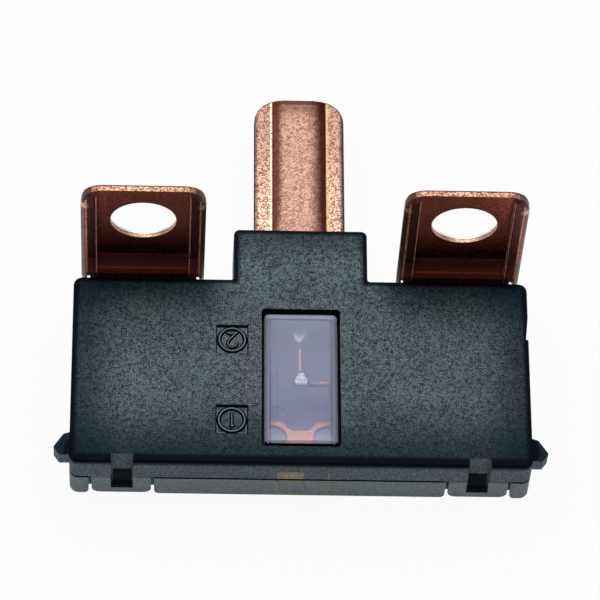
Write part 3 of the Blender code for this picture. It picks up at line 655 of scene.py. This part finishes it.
def tabColour(place, facing, masks, tab):
    side, along, mottle = masks["side"], masks["along"], masks["mottle"]
    high = place[2]
    across = side - tab["centre"]
    fromMiddle = abs(across)
    underneath = ramp(facing[1] * -1.0, 0.55, 0.8)

    # the underside: brown near its end, then painted shade lower down, and at the neck a band of tarnished
    # copper and painted reflection, dark above and red below
    under = mixColour(ramp(high, *tab["underFade"]), tab["underLow"], tab["under"])
    under = mixColour(ramp(high, *tab["neckFade"], 0.95, 0.0), under, tab["underShade"])
    under = mixColour(ramp(mottle, 0.2, 0.7, 0.35, 0.0), under, tab["underLow"])
    onFlap = fromMiddle > tab["flapInside"] - 0.02 * mm
    under = mixColour(onFlap, under, tab["flap"])
    low = ramp(high, tab["reflectionBandTop"] - 0.05 * mm, tab["reflectionBandTop"] + 0.05 * mm, 1.0, 0.0)
    stripes = addNode(high.tree, "ShaderNodeTexNoise", {"W": high, "Scale": tab["stripeScale"]},
                      noise_dimensions="1D")
    red = mixColour(ramp(high, *tab["redFade"]), tab["reflectionRed"], tab["tarnishAndReflection"])
    red = mixColour(ramp(Value(stripes.outputs["Fac"]), 0.45, 0.7, 0.0, 0.5), red, tab["reflectionRed"])
    deep = clamped(ramp(high, *tab["deepFade"], 1.0, 0.0) - onFlap)
    red = mixColour(deep, red, tab["reflectionDeepRed"])
    under = mixColour(low, under, red)

    # the bare edges: a painted highlight in the middle of the end, painted shade round the corners and down
    # the sides
    middle = ramp(fromMiddle, *tab["yellowFade"], 1.0, 0.0)
    edge = mixColour(ramp(mottle, 0.2, 0.65), tab["edge"], tab["edgeLight"])
    yellow = middle * ramp(mottle, 0.45, 0.8, 0.0, 0.7)
    edge = mixColour(yellow, edge, tab["edgeYellow"])
    upright = abs(facing[0])
    edge = mixColour(ramp(upright, 0.15, 0.8, 0.0, 0.92), edge, tab["strip"])
    edge = mixColour(onFlap * (along < tab["flapFace"]), edge, tab["flapEnd"])
    topLine = ramp(along, tab["faceTop"] - 0.16 * mm, tab["faceTop"] - 0.08 * mm)
    topLine = topLine * ramp(high, *tab["topFade"])
    behind = ramp(facing[1], 0.55, 0.8)
    notBehind = 1.0 - behind
    topLine = topLine * notBehind
    edge = mixColour(topLine, edge, tab["strip"])

    # the wall of the stud hole, burnished where the punch came out
    away = high - tab["holeCentre"]
    inHole = reach(across, away) < tab["holeRadius"] + 0.04 * mm
    burnish = ramp(along, *tab["burnish"])
    wall = mixColour(ramp(fromMiddle, *tab["holeFade"]), tab["edgeYellow"], tab["edgeLight"])
    wall = mixColour(ramp(mottle, 0.2, 0.7, 0.5, 0.0), wall, tab["edge"])
    punched = ramp(abs(along - tab["punchLine"]), 0.02 * mm, 0.06 * mm, 0.85, 0.0)
    wall = mixColour(punched, wall, tab["strip"])
    wall = mixColour(burnish, wall, (1.0, 1.0, 1.0))
    edge = mixColour(inHole, edge, wall)
    colour = mixColour(underneath, edge, under)
    backFace = mixColour(ramp(masks["streak"], 0.1, 0.7), tab["backDark"], tab["backLight"])
    colour = mixColour(behind, colour, backFace)

    # painted highlights: bright spots on the corners and thin bright lines along the folds
    glintX = fromMiddle - tab["glintPlace"][0]
    glintZ = high - tab["glintPlace"][1]
    cornerGlint = ramp(reach(glintX, glintZ), *tab["glintSize"], 1.0, 0.0)
    cornerGlint = cornerGlint * ramp(mottle, 0.1, 0.5, 0.3, 1.0)
    cornerGlint = cornerGlint * clamped(notBehind - underneath * 0.4)
    colour = mixColour(cornerGlint, colour, tab["cornerGlint"])
    foldLine = abs(fromMiddle - (tab["flapInside"] + 0.03 * mm))
    foldLine = ramp(foldLine, 0.04 * mm, 0.08 * mm, 1.0, 0.0)
    hemLine = abs(fromMiddle - (tab["half"] - tab["hemInset"]))
    hemLine = ramp(hemLine, 0.05 * mm, 0.13 * mm, 0.8, 0.0)
    lines = larger(foldLine, hemLine) * underneath
    lines = lines * ramp(mottle, 0.1, 0.6, 0.35, 0.95)
    colour = mixColour(lines, colour, tab["line"])
    # the band of tarnished copper and painted reflection, and the painted highlight lines, are partly not
    # metallic
    tarnishAndReflection = low * underneath * 0.8
    return colour, larger(tarnishAndReflection, lines * 0.9)


# Window plastics

windowFinish = {
    "haze": (0.43, 0.455, 0.66),
    # painted light: paler haze towards the top end, near the lower end, on the sloped rims with a painted
    # highlight along their outermost line, and on the top end wall
    "highHaze": (0.68, 0.73, 0.96),
    "lowHaze": (0.80, 0.82, 1.0),
    "rimHaze": (0.60, 0.61, 0.80),
    "rimHighlight": (0.98, 0.98, 1.0),
    "rimHighlightWidth": 0.09 * mm,
    "footHaze": (0.40, 0.42, 0.60),
    "endHaze": (0.74, 0.80, 1.0),
    # painted shade in the gap round the pane
    "gapShade": (0.003, 0.003, 0.006),
    "paneAlpha": 0.31,
    "rimAlpha": 0.62,
    "paneHalf": 3.70 * mm,
    "paneLow": 2.35 * mm,        # above the housing's lower edge
    "paneHigh": 17.6 * mm,
    "hazeRise": (4.0 * mm, 16.5 * mm),
    "lowFade": (2.6 * mm, 5.0 * mm),
    "endDepth": 0.75 * mm,
    "endWall": 0.6 * mm,
    "rippleScale": 900.0,
    "rippleDepth": 0.006 * mm,
    "roughness": 0.10,
    "specular": 0.04,
    "index": 1.49,
    "footInside": 2.99 * mm,     # the cap's walls, seen through its pane
    "footInset": 0.36 * mm,
    "footHeight": 5.7 * mm,
    "frosted": (0.47, 0.485, 0.70),
    "frostedLight": (0.60, 0.61, 0.86),
    "frostedRoughness": 0.42,
    "stepLine": -2.20 * mm,      # a fine moulded step down the left side
    "stepColour": (0.05, 0.05, 0.09),
}


def makeClearPlastic(finish):
    made, shader, coords = newMaterial("clearVioletPlastic")
    where = coords["Object"]
    place = splitXYZ(where)
    facing = splitXYZ(coords["Normal"])
    along = place[1] - lowerEdge
    side = abs(place[0])
    beyond = larger(side > finish["paneHalf"] + 0.01 * mm, along > finish["paneHigh"] + 0.01 * mm)
    beyond = larger(beyond, along < finish["paneLow"] - 0.01 * mm)
    rim = ramp(abs(facing[2]), 0.93, 0.995, 1.0, 0.0)
    foot = larger(side > finish["footInside"], along < finish["paneLow"] + finish["footInset"])
    foot = larger(foot, along > finish["paneHigh"] - finish["footInset"])
    foot = foot * (place[2] < finish["footHeight"])
    endWall = (facing[1] < -0.05) * (along < finish["paneLow"] + finish["endWall"])
    endWall = endWall * (facing[2] < 0.5)
    beyond = larger(beyond, endWall)
    # painted light: the haze grows paler towards the top end and near the lower end
    haze = mixColour(ramp(along, *finish["hazeRise"]), finish["haze"], finish["highHaze"])
    haze = mixColour(ramp(along, *finish["lowFade"], 1.0, 0.0), haze, finish["lowHaze"])
    # painted highlight on the sloped rims, palest along their outermost line
    outermost = side > finish["paneHalf"] - finish["rimHighlightWidth"]
    rimColour = mixColour(outermost, finish["rimHaze"], finish["rimHighlight"])
    colour = mixColour(rim, haze, rimColour)
    # painted light: the top end wall is painted pale
    atEnd = along > finish["paneHigh"] - finish["endDepth"]
    foot = larger(foot, atEnd * 0.55)
    colour = mixColour(foot, colour, mixColour(atEnd, finish["footHaze"], finish["endHaze"]))
    # painted shade: the flange, the outer walls and the lower end wall are painted near black and opaque
    colour = mixColour(beyond, colour, finish["gapShade"])
    alpha = ramp(rim, 0.0, 1.0, finish["paneAlpha"], finish["rimAlpha"])
    alpha = larger(alpha, foot * 0.92)
    setInputs(shader, {
        "Base Color": colour,
        "Alpha": larger(alpha, beyond),
        "Roughness": finish["roughness"],
        "IOR": finish["index"],
        "Specular IOR Level": finish["specular"],
        "Normal": bump(noise(where, finish["rippleScale"], 2.0, 0.5), finish["rippleDepth"], 0.5),
    })
    return made


# the rear pane's pale lavender is painted light: it stands in for the light that comes through from behind
def makeFrostedPlastic(finish):
    made, shader, coords = newMaterial("frostedVioletPlastic")
    where = coords["Object"]
    place = splitXYZ(where)
    grain = useGroup(grainGroup, where, grainSize=0.3 * mm, contrast=0.35)
    colour = mixColour(grain["speck"], finish["frosted"], finish["frostedLight"])
    fromStep = abs(place[0] - finish["stepLine"])
    line = ramp(fromStep, 0.03 * mm, 0.11 * mm, 0.45, 0.0)
    setInputs(shader, {
        "Base Color": mixColour(line, colour, finish["stepColour"]),
        "Roughness": finish["frostedRoughness"],
        "Normal": bump(grain["height"], 0.01 * mm, 0.5),
    })
    return made


tinFinish = {
    "shade": (0.66, 0.66, 0.88),
    "bright": (1.0, 1.0, 1.0),
    "lumpScale": 2600.0,
    "lumpDepth": 0.04 * mm,
    "roughness": 0.20,
}


def makeTin(finish):
    made, shader, coords = newMaterial("brightTin")
    lumps = noise(coords["Object"], finish["lumpScale"], 2.0, 0.5)
    setInputs(shader, {
        "Base Color": mixColour(ramp(lumps, 0.40, 0.62), finish["shade"], finish["bright"]),
        "Metallic": 1.0,
        "Roughness": finish["roughness"],
        "Normal": bump(lumps, finish["lumpDepth"], 0.5),
    })
    return made


printFinish = {
    "faded": (0.17, 0.150, 0.085),
    "full": (0.36, 0.30, 0.16),
    "grainSize": 0.2 * mm,
    "roughness": 0.6,
}


def makePrintInk(finish):   # faded gold-brown print, with the plastic's grain showing through
    made, shader, coords = newMaterial("fadedPrint")
    grain = useGroup(grainGroup, coords["Object"], grainSize=finish["grainSize"], contrast=0.6)
    colour = mixColour(grain["speck"], finish["faded"], finish["full"])
    setInputs(shader, {"Base Color": colour, "Roughness": finish["roughness"]})
    return made


housingPlastic = makeHousingPlastic(housingFinish)
copper = makeCopper(copperFinish, tabFinish)
markPlastic = makeMarkPlastic(housingFinish)
clearPlastic = makeClearPlastic(windowFinish)
frostedPlastic = makeFrostedPlastic(windowFinish)
tin = makeTin(tinFinish)
printInk = makePrintInk(printFinish)
print("materials made")


# Covers, windows and element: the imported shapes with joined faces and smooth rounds

def shapeBladeEnd(shape):
    limit = lowerEdge + bladeEnd["start"]
    touched = [face for face in shape.faces if any(vert.co.y > limit for vert in face.verts)]
    bmesh.ops.triangulate(shape, faces=touched)
    for vert in shape.verts:
        beyond = vert.co.y - limit
        if beyond <= 0:
            continue
        drop = bladeEnd["sheetFace"] - vert.co.z
        if vert.co.z > bladeEnd["flapHeight"]:
            vert.co.y = limit + beyond * bladeEnd["flapShare"]
        elif 0 < drop < bladeEnd["coinedDepth"] and beyond > bladeEnd["coinedBeyond"]:
            vert.co.z = bladeEnd["sheetFace"] - drop * bladeEnd["coinedShare"]


def joinedCopy(nodeName, pieceName, material, smoothAngle=32.0, adjust=None):
    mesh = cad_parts[nodeName].data.copy()
    mesh.name = pieceName
    shape = bmesh.new()
    shape.from_mesh(mesh)
    bmesh.ops.remove_doubles(shape, verts=shape.verts, dist=1e-6)
    bmesh.ops.dissolve_limit(shape, angle_limit=math.radians(0.4), verts=shape.verts, edges=shape.edges)
    if adjust:
        adjust(shape)
    shape.to_mesh(mesh)
    shape.free()
    mesh.materials.clear()
    mesh.materials.append(material)
    mesh.shade_smooth()
    mesh.set_sharp_from_angle(angle=math.radians(smoothAngle))
    guide = addObject(pieceName, mesh)
    even = guide.modifiers.new("evenNormals", "WEIGHTED_NORMAL")   # flat faces stay flat beside their rounds
    even.keep_sharp = True
    even.weight = 100
    return plainCopy(guide)


def plainCopy(guide):   # the evaluated shape as a plain object, without its modifiers
    bpy.context.view_layer.update()
    evaluated = guide.evaluated_get(bpy.context.evaluated_depsgraph_get())
    mesh = bpy.data.meshes.new_from_object(evaluated)
    name = guide.name
    bpy.data.objects.remove(guide)
    mesh.name = name
    return addObject(name, mesh)


def settle(piece, slotName, *nodes):   # the piece goes with the part's one body
    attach(piece, "root")
    if nodes:
        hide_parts(*nodes)
    return piece


settle(joinedCopy("front_cover", "frontCover", housingPlastic), "housing", "front_cover")
settle(joinedCopy("back_cover", "backCover", housingPlastic), "housing", "back_cover")
settle(joinedCopy("window_front", "windowFront", clearPlastic), "clear_window", "window_front")
settle(joinedCopy("window_rear", "windowRear", frostedPlastic), "frosted_window", "window_rear")
settle(joinedCopy("fuse_element", "fuseElement", copper, adjust=shapeBladeEnd), "copper", "fuse_element")
print("covers, windows and element dressed")


# Geometry nodes

def joined(tree, *parts):
    node = addNode(tree, "GeometryNodeJoinGeometry")
    for part in parts:
        setInputs(node, {0: part})
    return node


def closeTree(tree, made, shape, surface, smooth=False):   # a tree ends in real faces with a material
    shape = addNode(tree, "GeometryNodeRealizeInstances", {0: shape})
    if smooth:
        shape = addNode(tree, "GeometryNodeSetShadeSmooth", {0: shape})
    setInputs(made, {0: addNode(tree, "GeometryNodeSetMaterial", {"Geometry": shape, "Material": surface})})
    return tree


def makeStrokeTree():   # a rounded ridge along every line, with a ball at each open end
    inputs = {"Geometry": "Geometry", "strokeWidth": "Float", "surface": "Material"}
    tree, given, made = newGroup("GeometryNodeTree", "raisedStroke", inputs, {"Geometry": "Geometry"})
    radius = given["strokeWidth"] * 0.5
    curve = addNode(tree, "GeometryNodeMeshToCurve", {0: given["Geometry"]})
    section = addNode(tree, "GeometryNodeCurvePrimitiveCircle", {"Resolution": 12, "Radius": radius})
    tube = addNode(tree, "GeometryNodeCurveToMesh", {"Curve": curve, "Profile Curve": section})
    ball = addNode(tree, "GeometryNodeMeshUVSphere", {"Segments": 12, "Rings": 8, "Radius": radius})
    ends = addNode(tree, "GeometryNodeCurveEndpointSelection")
    cyclic = addNode(tree, "GeometryNodeInputSplineCyclic")
    openEnds = addNode(tree, "FunctionNodeBooleanMath", {0: ends, 1: cyclic}, operation="NIMPLY")
    balls = addNode(tree, "GeometryNodeInstanceOnPoints",
                    {"Points": curve, "Selection": openEnds, "Instance": ball})
    return closeTree(tree, made, joined(tree, tube, balls), given["surface"], smooth=True)


def makeRibbonTree():   # a thin flat band along every line, for print
    inputs = {"Geometry": "Geometry", "bandWidth": "Float", "thickness": "Float", "surface": "Material"}
    tree, given, made = newGroup("GeometryNodeTree", "printedBand", inputs, {"Geometry": "Geometry"})
    curve = addNode(tree, "GeometryNodeMeshToCurve", {0: given["Geometry"]})
    section = addNode(tree, "GeometryNodeCurvePrimitiveQuadrilateral",
                      {"Width": given["thickness"], "Height": given["bandWidth"]})
    upright = addNode(tree, "GeometryNodeSetCurveNormal", mode="FREE")
    setInputs(upright, {0: curve, "Normal": (0.0, -1.0, 0.0)})
    band = addNode(tree, "GeometryNodeCurveToMesh",
                   {"Curve": upright, "Profile Curve": section, "Fill Caps": True})
    return closeTree(tree, made, band, given["surface"])


def makeDropTree():   # a ball on every loose point beside a body, for a remesh to melt together
    inputs = {"Geometry": "Geometry", "beadRadius": "Float", "seed": "Int", "surface": "Material"}
    tree, given, made = newGroup("GeometryNodeTree", "tinBeads", inputs, {"Geometry": "Geometry"})
    faces = valuesOf(addNode(tree, "GeometryNodeInputMeshVertexNeighbors"))
    loose = addNode(tree, "FunctionNodeCompare", data_type="INT", operation="EQUAL")
    setInputs(loose, {2: faces["Face Count"], 3: 0})
    ball = addNode(tree, "GeometryNodeMeshIcoSphere", {"Subdivisions": 3, "Radius": given["beadRadius"]})
    size = addNode(tree, "FunctionNodeRandomValue", data_type="FLOAT")
    setInputs(size, {2: 0.75, 3: 1.2, "Seed": given["seed"]})
    beads = addNode(tree, "GeometryNodeInstanceOnPoints", {
        "Points": given["Geometry"],
        "Selection": loose,
        "Instance": ball,
        "Scale": Value(size.outputs[1]),
    })
    return closeTree(tree, made, joined(tree, given["Geometry"], beads), given["surface"])


strokeTree = makeStrokeTree()
ribbonTree = makeRibbonTree()
dropTree = makeDropTree()


def lineObject(name, paths):   # paths of (points, closed) become the guide lines of a tree
    mesh = bpy.data.meshes.new(name)
    verts = []
    edges = []
    for points, closed in paths:
        first = len(verts)
        verts += [tuple(point) for point in points]
        edges += [(first + i, first + i + 1) for i in range(len(points) - 1)]
        if closed:
            edges.append((len(verts) - 1, first))
    mesh.from_pydata(verts, edges, [])
    return addObject(name, mesh)


def grow(guide, tree, values, extra=()):   # runs a tree on a guide and returns the plain result
    modifier = guide.modifiers.new("shape", "NODES")
    modifier.node_group = tree
    for item in tree.interface.items_tree:
        if item.in_out == "INPUT" and item.name in values:
            modifier[item.identifier] = values[item.name]
    for kind, settings in extra:
        more = guide.modifiers.new(kind.lower(), kind)
        for key, value in settings.items():
            setattr(more, key, value)
    return plainCopy(guide)


# Circled numbers in the two square fields, turned upside down as on the real housing

numberMarks = {
    "fieldDepth": 0.2 * mm,
    "ringRadius": 1.31 * mm,
    "ringWidth": 0.56 * mm,
    "digitWidth": 0.42 * mm,
    "strokeTop": 0.175 * mm,     # above the field's floor
}


def ringPath(radius, count=48):
    return [(radius * math.cos(2 * math.pi * i / count), radius * math.sin(2 * math.pi * i / count))
            for i in range(count)]


def smoothPath(points, steps=6):   # a Catmull-Rom curve through the points
    full = [points[0]] + list(points) + [points[-1]]
    path = []
    for a, b, c, d in zip(full, full[1:], full[2:], full[3:]):
        for i in range(steps):
            t = i / steps
            path.append(tuple(
                0.5 * (2 * b[k] + (c[k] - a[k]) * t + (2 * a[k] - 5 * b[k] + 4 * c[k] - d[k]) * t * t
                       + (3 * b[k] - a[k] - 3 * c[k] + d[k]) * t ** 3) for k in (0, 1)))
    path.append(tuple(points[-1]))
    return path


digitPaths = {   # millimetres from the ring's middle, as seen in the photo
    "one": [[(0.0, 0.74), (0.0, -0.76)], [(0.0, -0.76), (0.18, -0.62)]],
    "two": [
        [(-0.52, 0.84), (-0.30, 0.70), (-0.02, 0.72), (0.26, 0.80), (0.50, 0.86)],
        [(0.50, 0.86), (-0.02, 0.30), (-0.36, -0.18), (-0.42, -0.52), (-0.20, -0.80),
         (0.14, -0.82), (0.42, -0.66), (0.50, -0.42)],
    ],
}


def makeNumberMark(name, marks):
    x = numberFields["centreX"]
    y = lowerEdge + numberFields["centres"][name]
    digit = [(smoothPath([(u * mm, v * mm) for u, v in stroke]), False) for stroke in digitPaths[name]]
    ring = [(ringPath(marks["ringRadius"]), True)]
    for kind, width, lines in (("Digit", marks["digitWidth"], digit), ("Ring", marks["ringWidth"], ring)):
        height = frontFace - marks["fieldDepth"] + marks["strokeTop"] - width / 2
        paths = [([(x + u, y + v, height) for u, v in line], closed) for line, closed in lines]
        guide = lineObject("number" + name.capitalize() + kind, paths)
        settle(grow(guide, strokeTree, {"strokeWidth": width, "surface": markPlastic}), "housing")


for markName in ("one", "two"):
    makeNumberMark(markName, numberMarks)
print("number marks raised")


# Print on the lower side: a filled square and the outline of its neighbours

printedBoxes = {
    "columns": (-2.34 * mm, 0.30 * mm, 2.85 * mm),
    "low": 0.62 * mm,
    "middle": 3.05 * mm,
    "high": 5.15 * mm,
    "parting": 3.55 * mm,
    "partingGap": 0.2 * mm,
    "lineWidth": 0.16 * mm,
    "thickness": 0.012 * mm,
}


def makePrint(boxes):
    y = lowerEdge - boxes["thickness"] * 0.3
    low, middle, high = boxes["low"], boxes["middle"], boxes["high"]
    under = boxes["parting"] - boxes["partingGap"]
    over = boxes["parting"] + boxes["partingGap"]
    left, centre, right = boxes["columns"]
    paths = []
    for x in boxes["columns"]:
        paths.append(([(x, y, low), (x, y, under)], False))
    paths.append(([(right, y, over), (right, y, high)], False))
    for z in (low, middle):
        paths.append(([(left, y, z), (right, y, z)], False))
    guide = lineObject("printedLines", paths)
    values = {"bandWidth": boxes["lineWidth"], "thickness": boxes["thickness"], "surface": printInk}
    settle(grow(guide, ribbonTree, values), "housing")
    half = (centre - left) / 2
    for name, z0, z1 in (("printedFieldUpper", over, high), ("printedFieldLower", middle, under)):
        guide = lineObject(name, [([(left + half, y, z0), (left + half, y, z1)], False)])
        values["bandWidth"] = 2 * half
        settle(grow(guide, ribbonTree, values), "housing")


makePrint(printedBoxes)
print("print laid on")


# Tin that has run on the thin link

tinDrops = {
    "upper": {"node": "tin_pellet_upper", "seed": 4, "shift": (-0.04, 0.42), "stretch": (1.12, 1.06),
              "beads": ((-0.66, 1.20), (-0.50, 1.58), (-0.18, 1.70), (0.22, 1.68), (0.52, 1.54),
                        (0.66, 1.14), (-0.46, 0.62), (-0.20, 0.16), (0.14, 0.14), (0.40, 0.52))},
    "lower": {"node": "tin_pellet_lower", "seed": 11, "shift": (0.14, 0.30), "stretch": (1.10, 1.12),
              "beads": ((-0.66, 0.34), (-0.50, 0.14), (-0.24, 0.14), (0.42, 0.14), (0.60, 0.36),
                        (-0.36, 0.90), (0.32, 0.92), (-0.06, 1.50))},
    "beadRadius": 0.19 * mm,
    "beadHeight": 0.34 * mm,     # above the body's base
    "voxel": 0.045 * mm,
    "sink": 0.25 * mm,           # down onto the link
    "flatten": 0.80,
}


def makeTinDrop(which, drops):   # beads are given in millimetres from the middle of the pellet's lower end
    facts = drops[which]
    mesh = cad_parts[facts["node"]].data.copy()
    low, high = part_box(facts["node"])
    centre = (low + high) / 2
    shape = bmesh.new()
    shape.from_mesh(mesh)
    bmesh.ops.remove_doubles(shape, verts=shape.verts, dist=1e-6)
    shiftX, shiftY = (value * mm for value in facts["shift"])
    stretchX, stretchY = facts["stretch"]
    for vert in shape.verts:
        vert.co.x = centre.x + shiftX + (vert.co.x - centre.x) * 0.9 * stretchX
        vert.co.y = centre.y + shiftY + (vert.co.y - centre.y) * 0.9 * stretchY
        vert.co.z = low.z - drops["sink"] + (vert.co.z - low.z) * drops["flatten"]
    for u, v in facts["beads"]:
        x = centre.x + shiftX + u * mm * stretchX
        y = low.y + shiftY + v * mm * stretchY
        shape.verts.new((x, y, low.z + drops["beadHeight"] - drops["sink"]))
    shape.to_mesh(mesh)
    shape.free()
    mesh.materials.clear()
    guide = addObject("tinDrop" + which.capitalize(), mesh)
    values = {"beadRadius": drops["beadRadius"], "seed": facts["seed"], "surface": tin}
    extra = [
        ("REMESH", {"mode": "VOXEL", "voxel_size": drops["voxel"], "use_smooth_shade": True}),
        ("SMOOTH", {"factor": 0.6, "iterations": 3}),
    ]
    piece = grow(guide, dropTree, values, extra)
    piece.data.materials.clear()
    piece.data.materials.append(tin)
    piece.data.shade_smooth()
    return settle(piece, "tin", facts["node"])


for dropName in ("upper", "lower"):
    makeTinDrop(dropName, tinDrops)
print("tin drops melted on")


# Floor, lamps and world

studio = {
    "floorSize": 3.0,
    "floorColour": (0.90, 0.90, 0.90),
    "floorGlow": 0.94,           # share of plain white that the camera and reflections see
    "worldBright": (0.74, 0.74, 0.75),
    "worldDim": (0.055, 0.058, 0.062),
    "lamps": {                   # place, size and power
        "keyLamp": ((-0.06, 0.26, 0.50), (0.8, 0.7), 1.5),
        "glintLamp": ((-0.10, 0.30, 0.62), (0.03, 0.03), 0.12),
        "frontLamp": ((0.0, -0.55, 0.10), (0.9, 0.12), 0.55),   # low, for the sides that face the viewer
        "leftLamp": ((-0.55, -0.05, 0.22), (0.3, 0.3), 0.12),
        "rightLamp": ((0.55, -0.05, 0.22), (0.3, 0.3), 0.12),
    },
}


def makeFloor(setup):
    half = setup["floorSize"] / 2
    mesh = bpy.data.meshes.new("floor")
    corners = [(-half, -half, 0), (half, -half, 0), (half, half, 0), (-half, half, 0)]
    mesh.from_pydata(corners, [], [(0, 1, 2, 3)])
    mesh.transform(Matrix.Translation((0, 0, -0.05 * mm)))
    floor = addObject("floor", mesh)
    made = bpy.data.materials.new("paleFloor")
    made.use_nodes = True
    tree = made.node_tree
    tree.nodes.remove(tree.nodes["Principled BSDF"])
    matt = addNode(tree, "ShaderNodeBsdfDiffuse", {"Color": setup["floorColour"]})
    glow = addNode(tree, "ShaderNodeEmission")
    path = valuesOf(addNode(tree, "ShaderNodeLightPath"))
    seen = larger(larger(path["Is Camera Ray"], path["Is Glossy Ray"]), path["Is Transmission Ray"])
    choose = addNode(tree, "ShaderNodeMixShader", {0: seen * setup["floorGlow"], 1: matt, 2: glow})
    setInputs(tree.nodes["Material Output"], {"Surface": choose})
    mesh.materials.append(made)


def makeLamp(name, place, size, power):
    data = bpy.data.lights.new(name, "AREA")
    data.shape = "RECTANGLE"
    data.size, data.size_y = size
    data.energy = power
    lamp = addObject(name, data)
    lamp.location = place
    toMiddle = Vector((0, 0, 0)) - Vector(place)
    lamp.rotation_euler = toMiddle.to_track_quat("-Z", "Y").to_euler()


def makeWorld(setup):
    world = bpy.data.worlds.new("softStudio")
    bpy.context.scene.world = world
    world.use_nodes = True
    tree = world.node_tree
    coords = valuesOf(addNode(tree, "ShaderNodeTexCoord"))
    along = addNode(tree, "ShaderNodeVectorMath", operation="DOT_PRODUCT")
    setInputs(along, {0: coords["Generated"], 1: (0.0, 0.8, 0.6)})   # brighter above and behind
    upward = ramp(Value(along.outputs["Value"]), -0.1, 0.8)
    colour = mixColour(upward, setup["worldDim"], setup["worldBright"])
    setInputs(tree.nodes["Background"], {"Color": colour})


makeFloor(studio)
makeWorld(studio)
for lampName, (place, size, power) in studio["lamps"].items():
    makeLamp(lampName, place, size, power)
bpy.context.scene.view_settings.view_transform = "Standard"
print("studio lit")
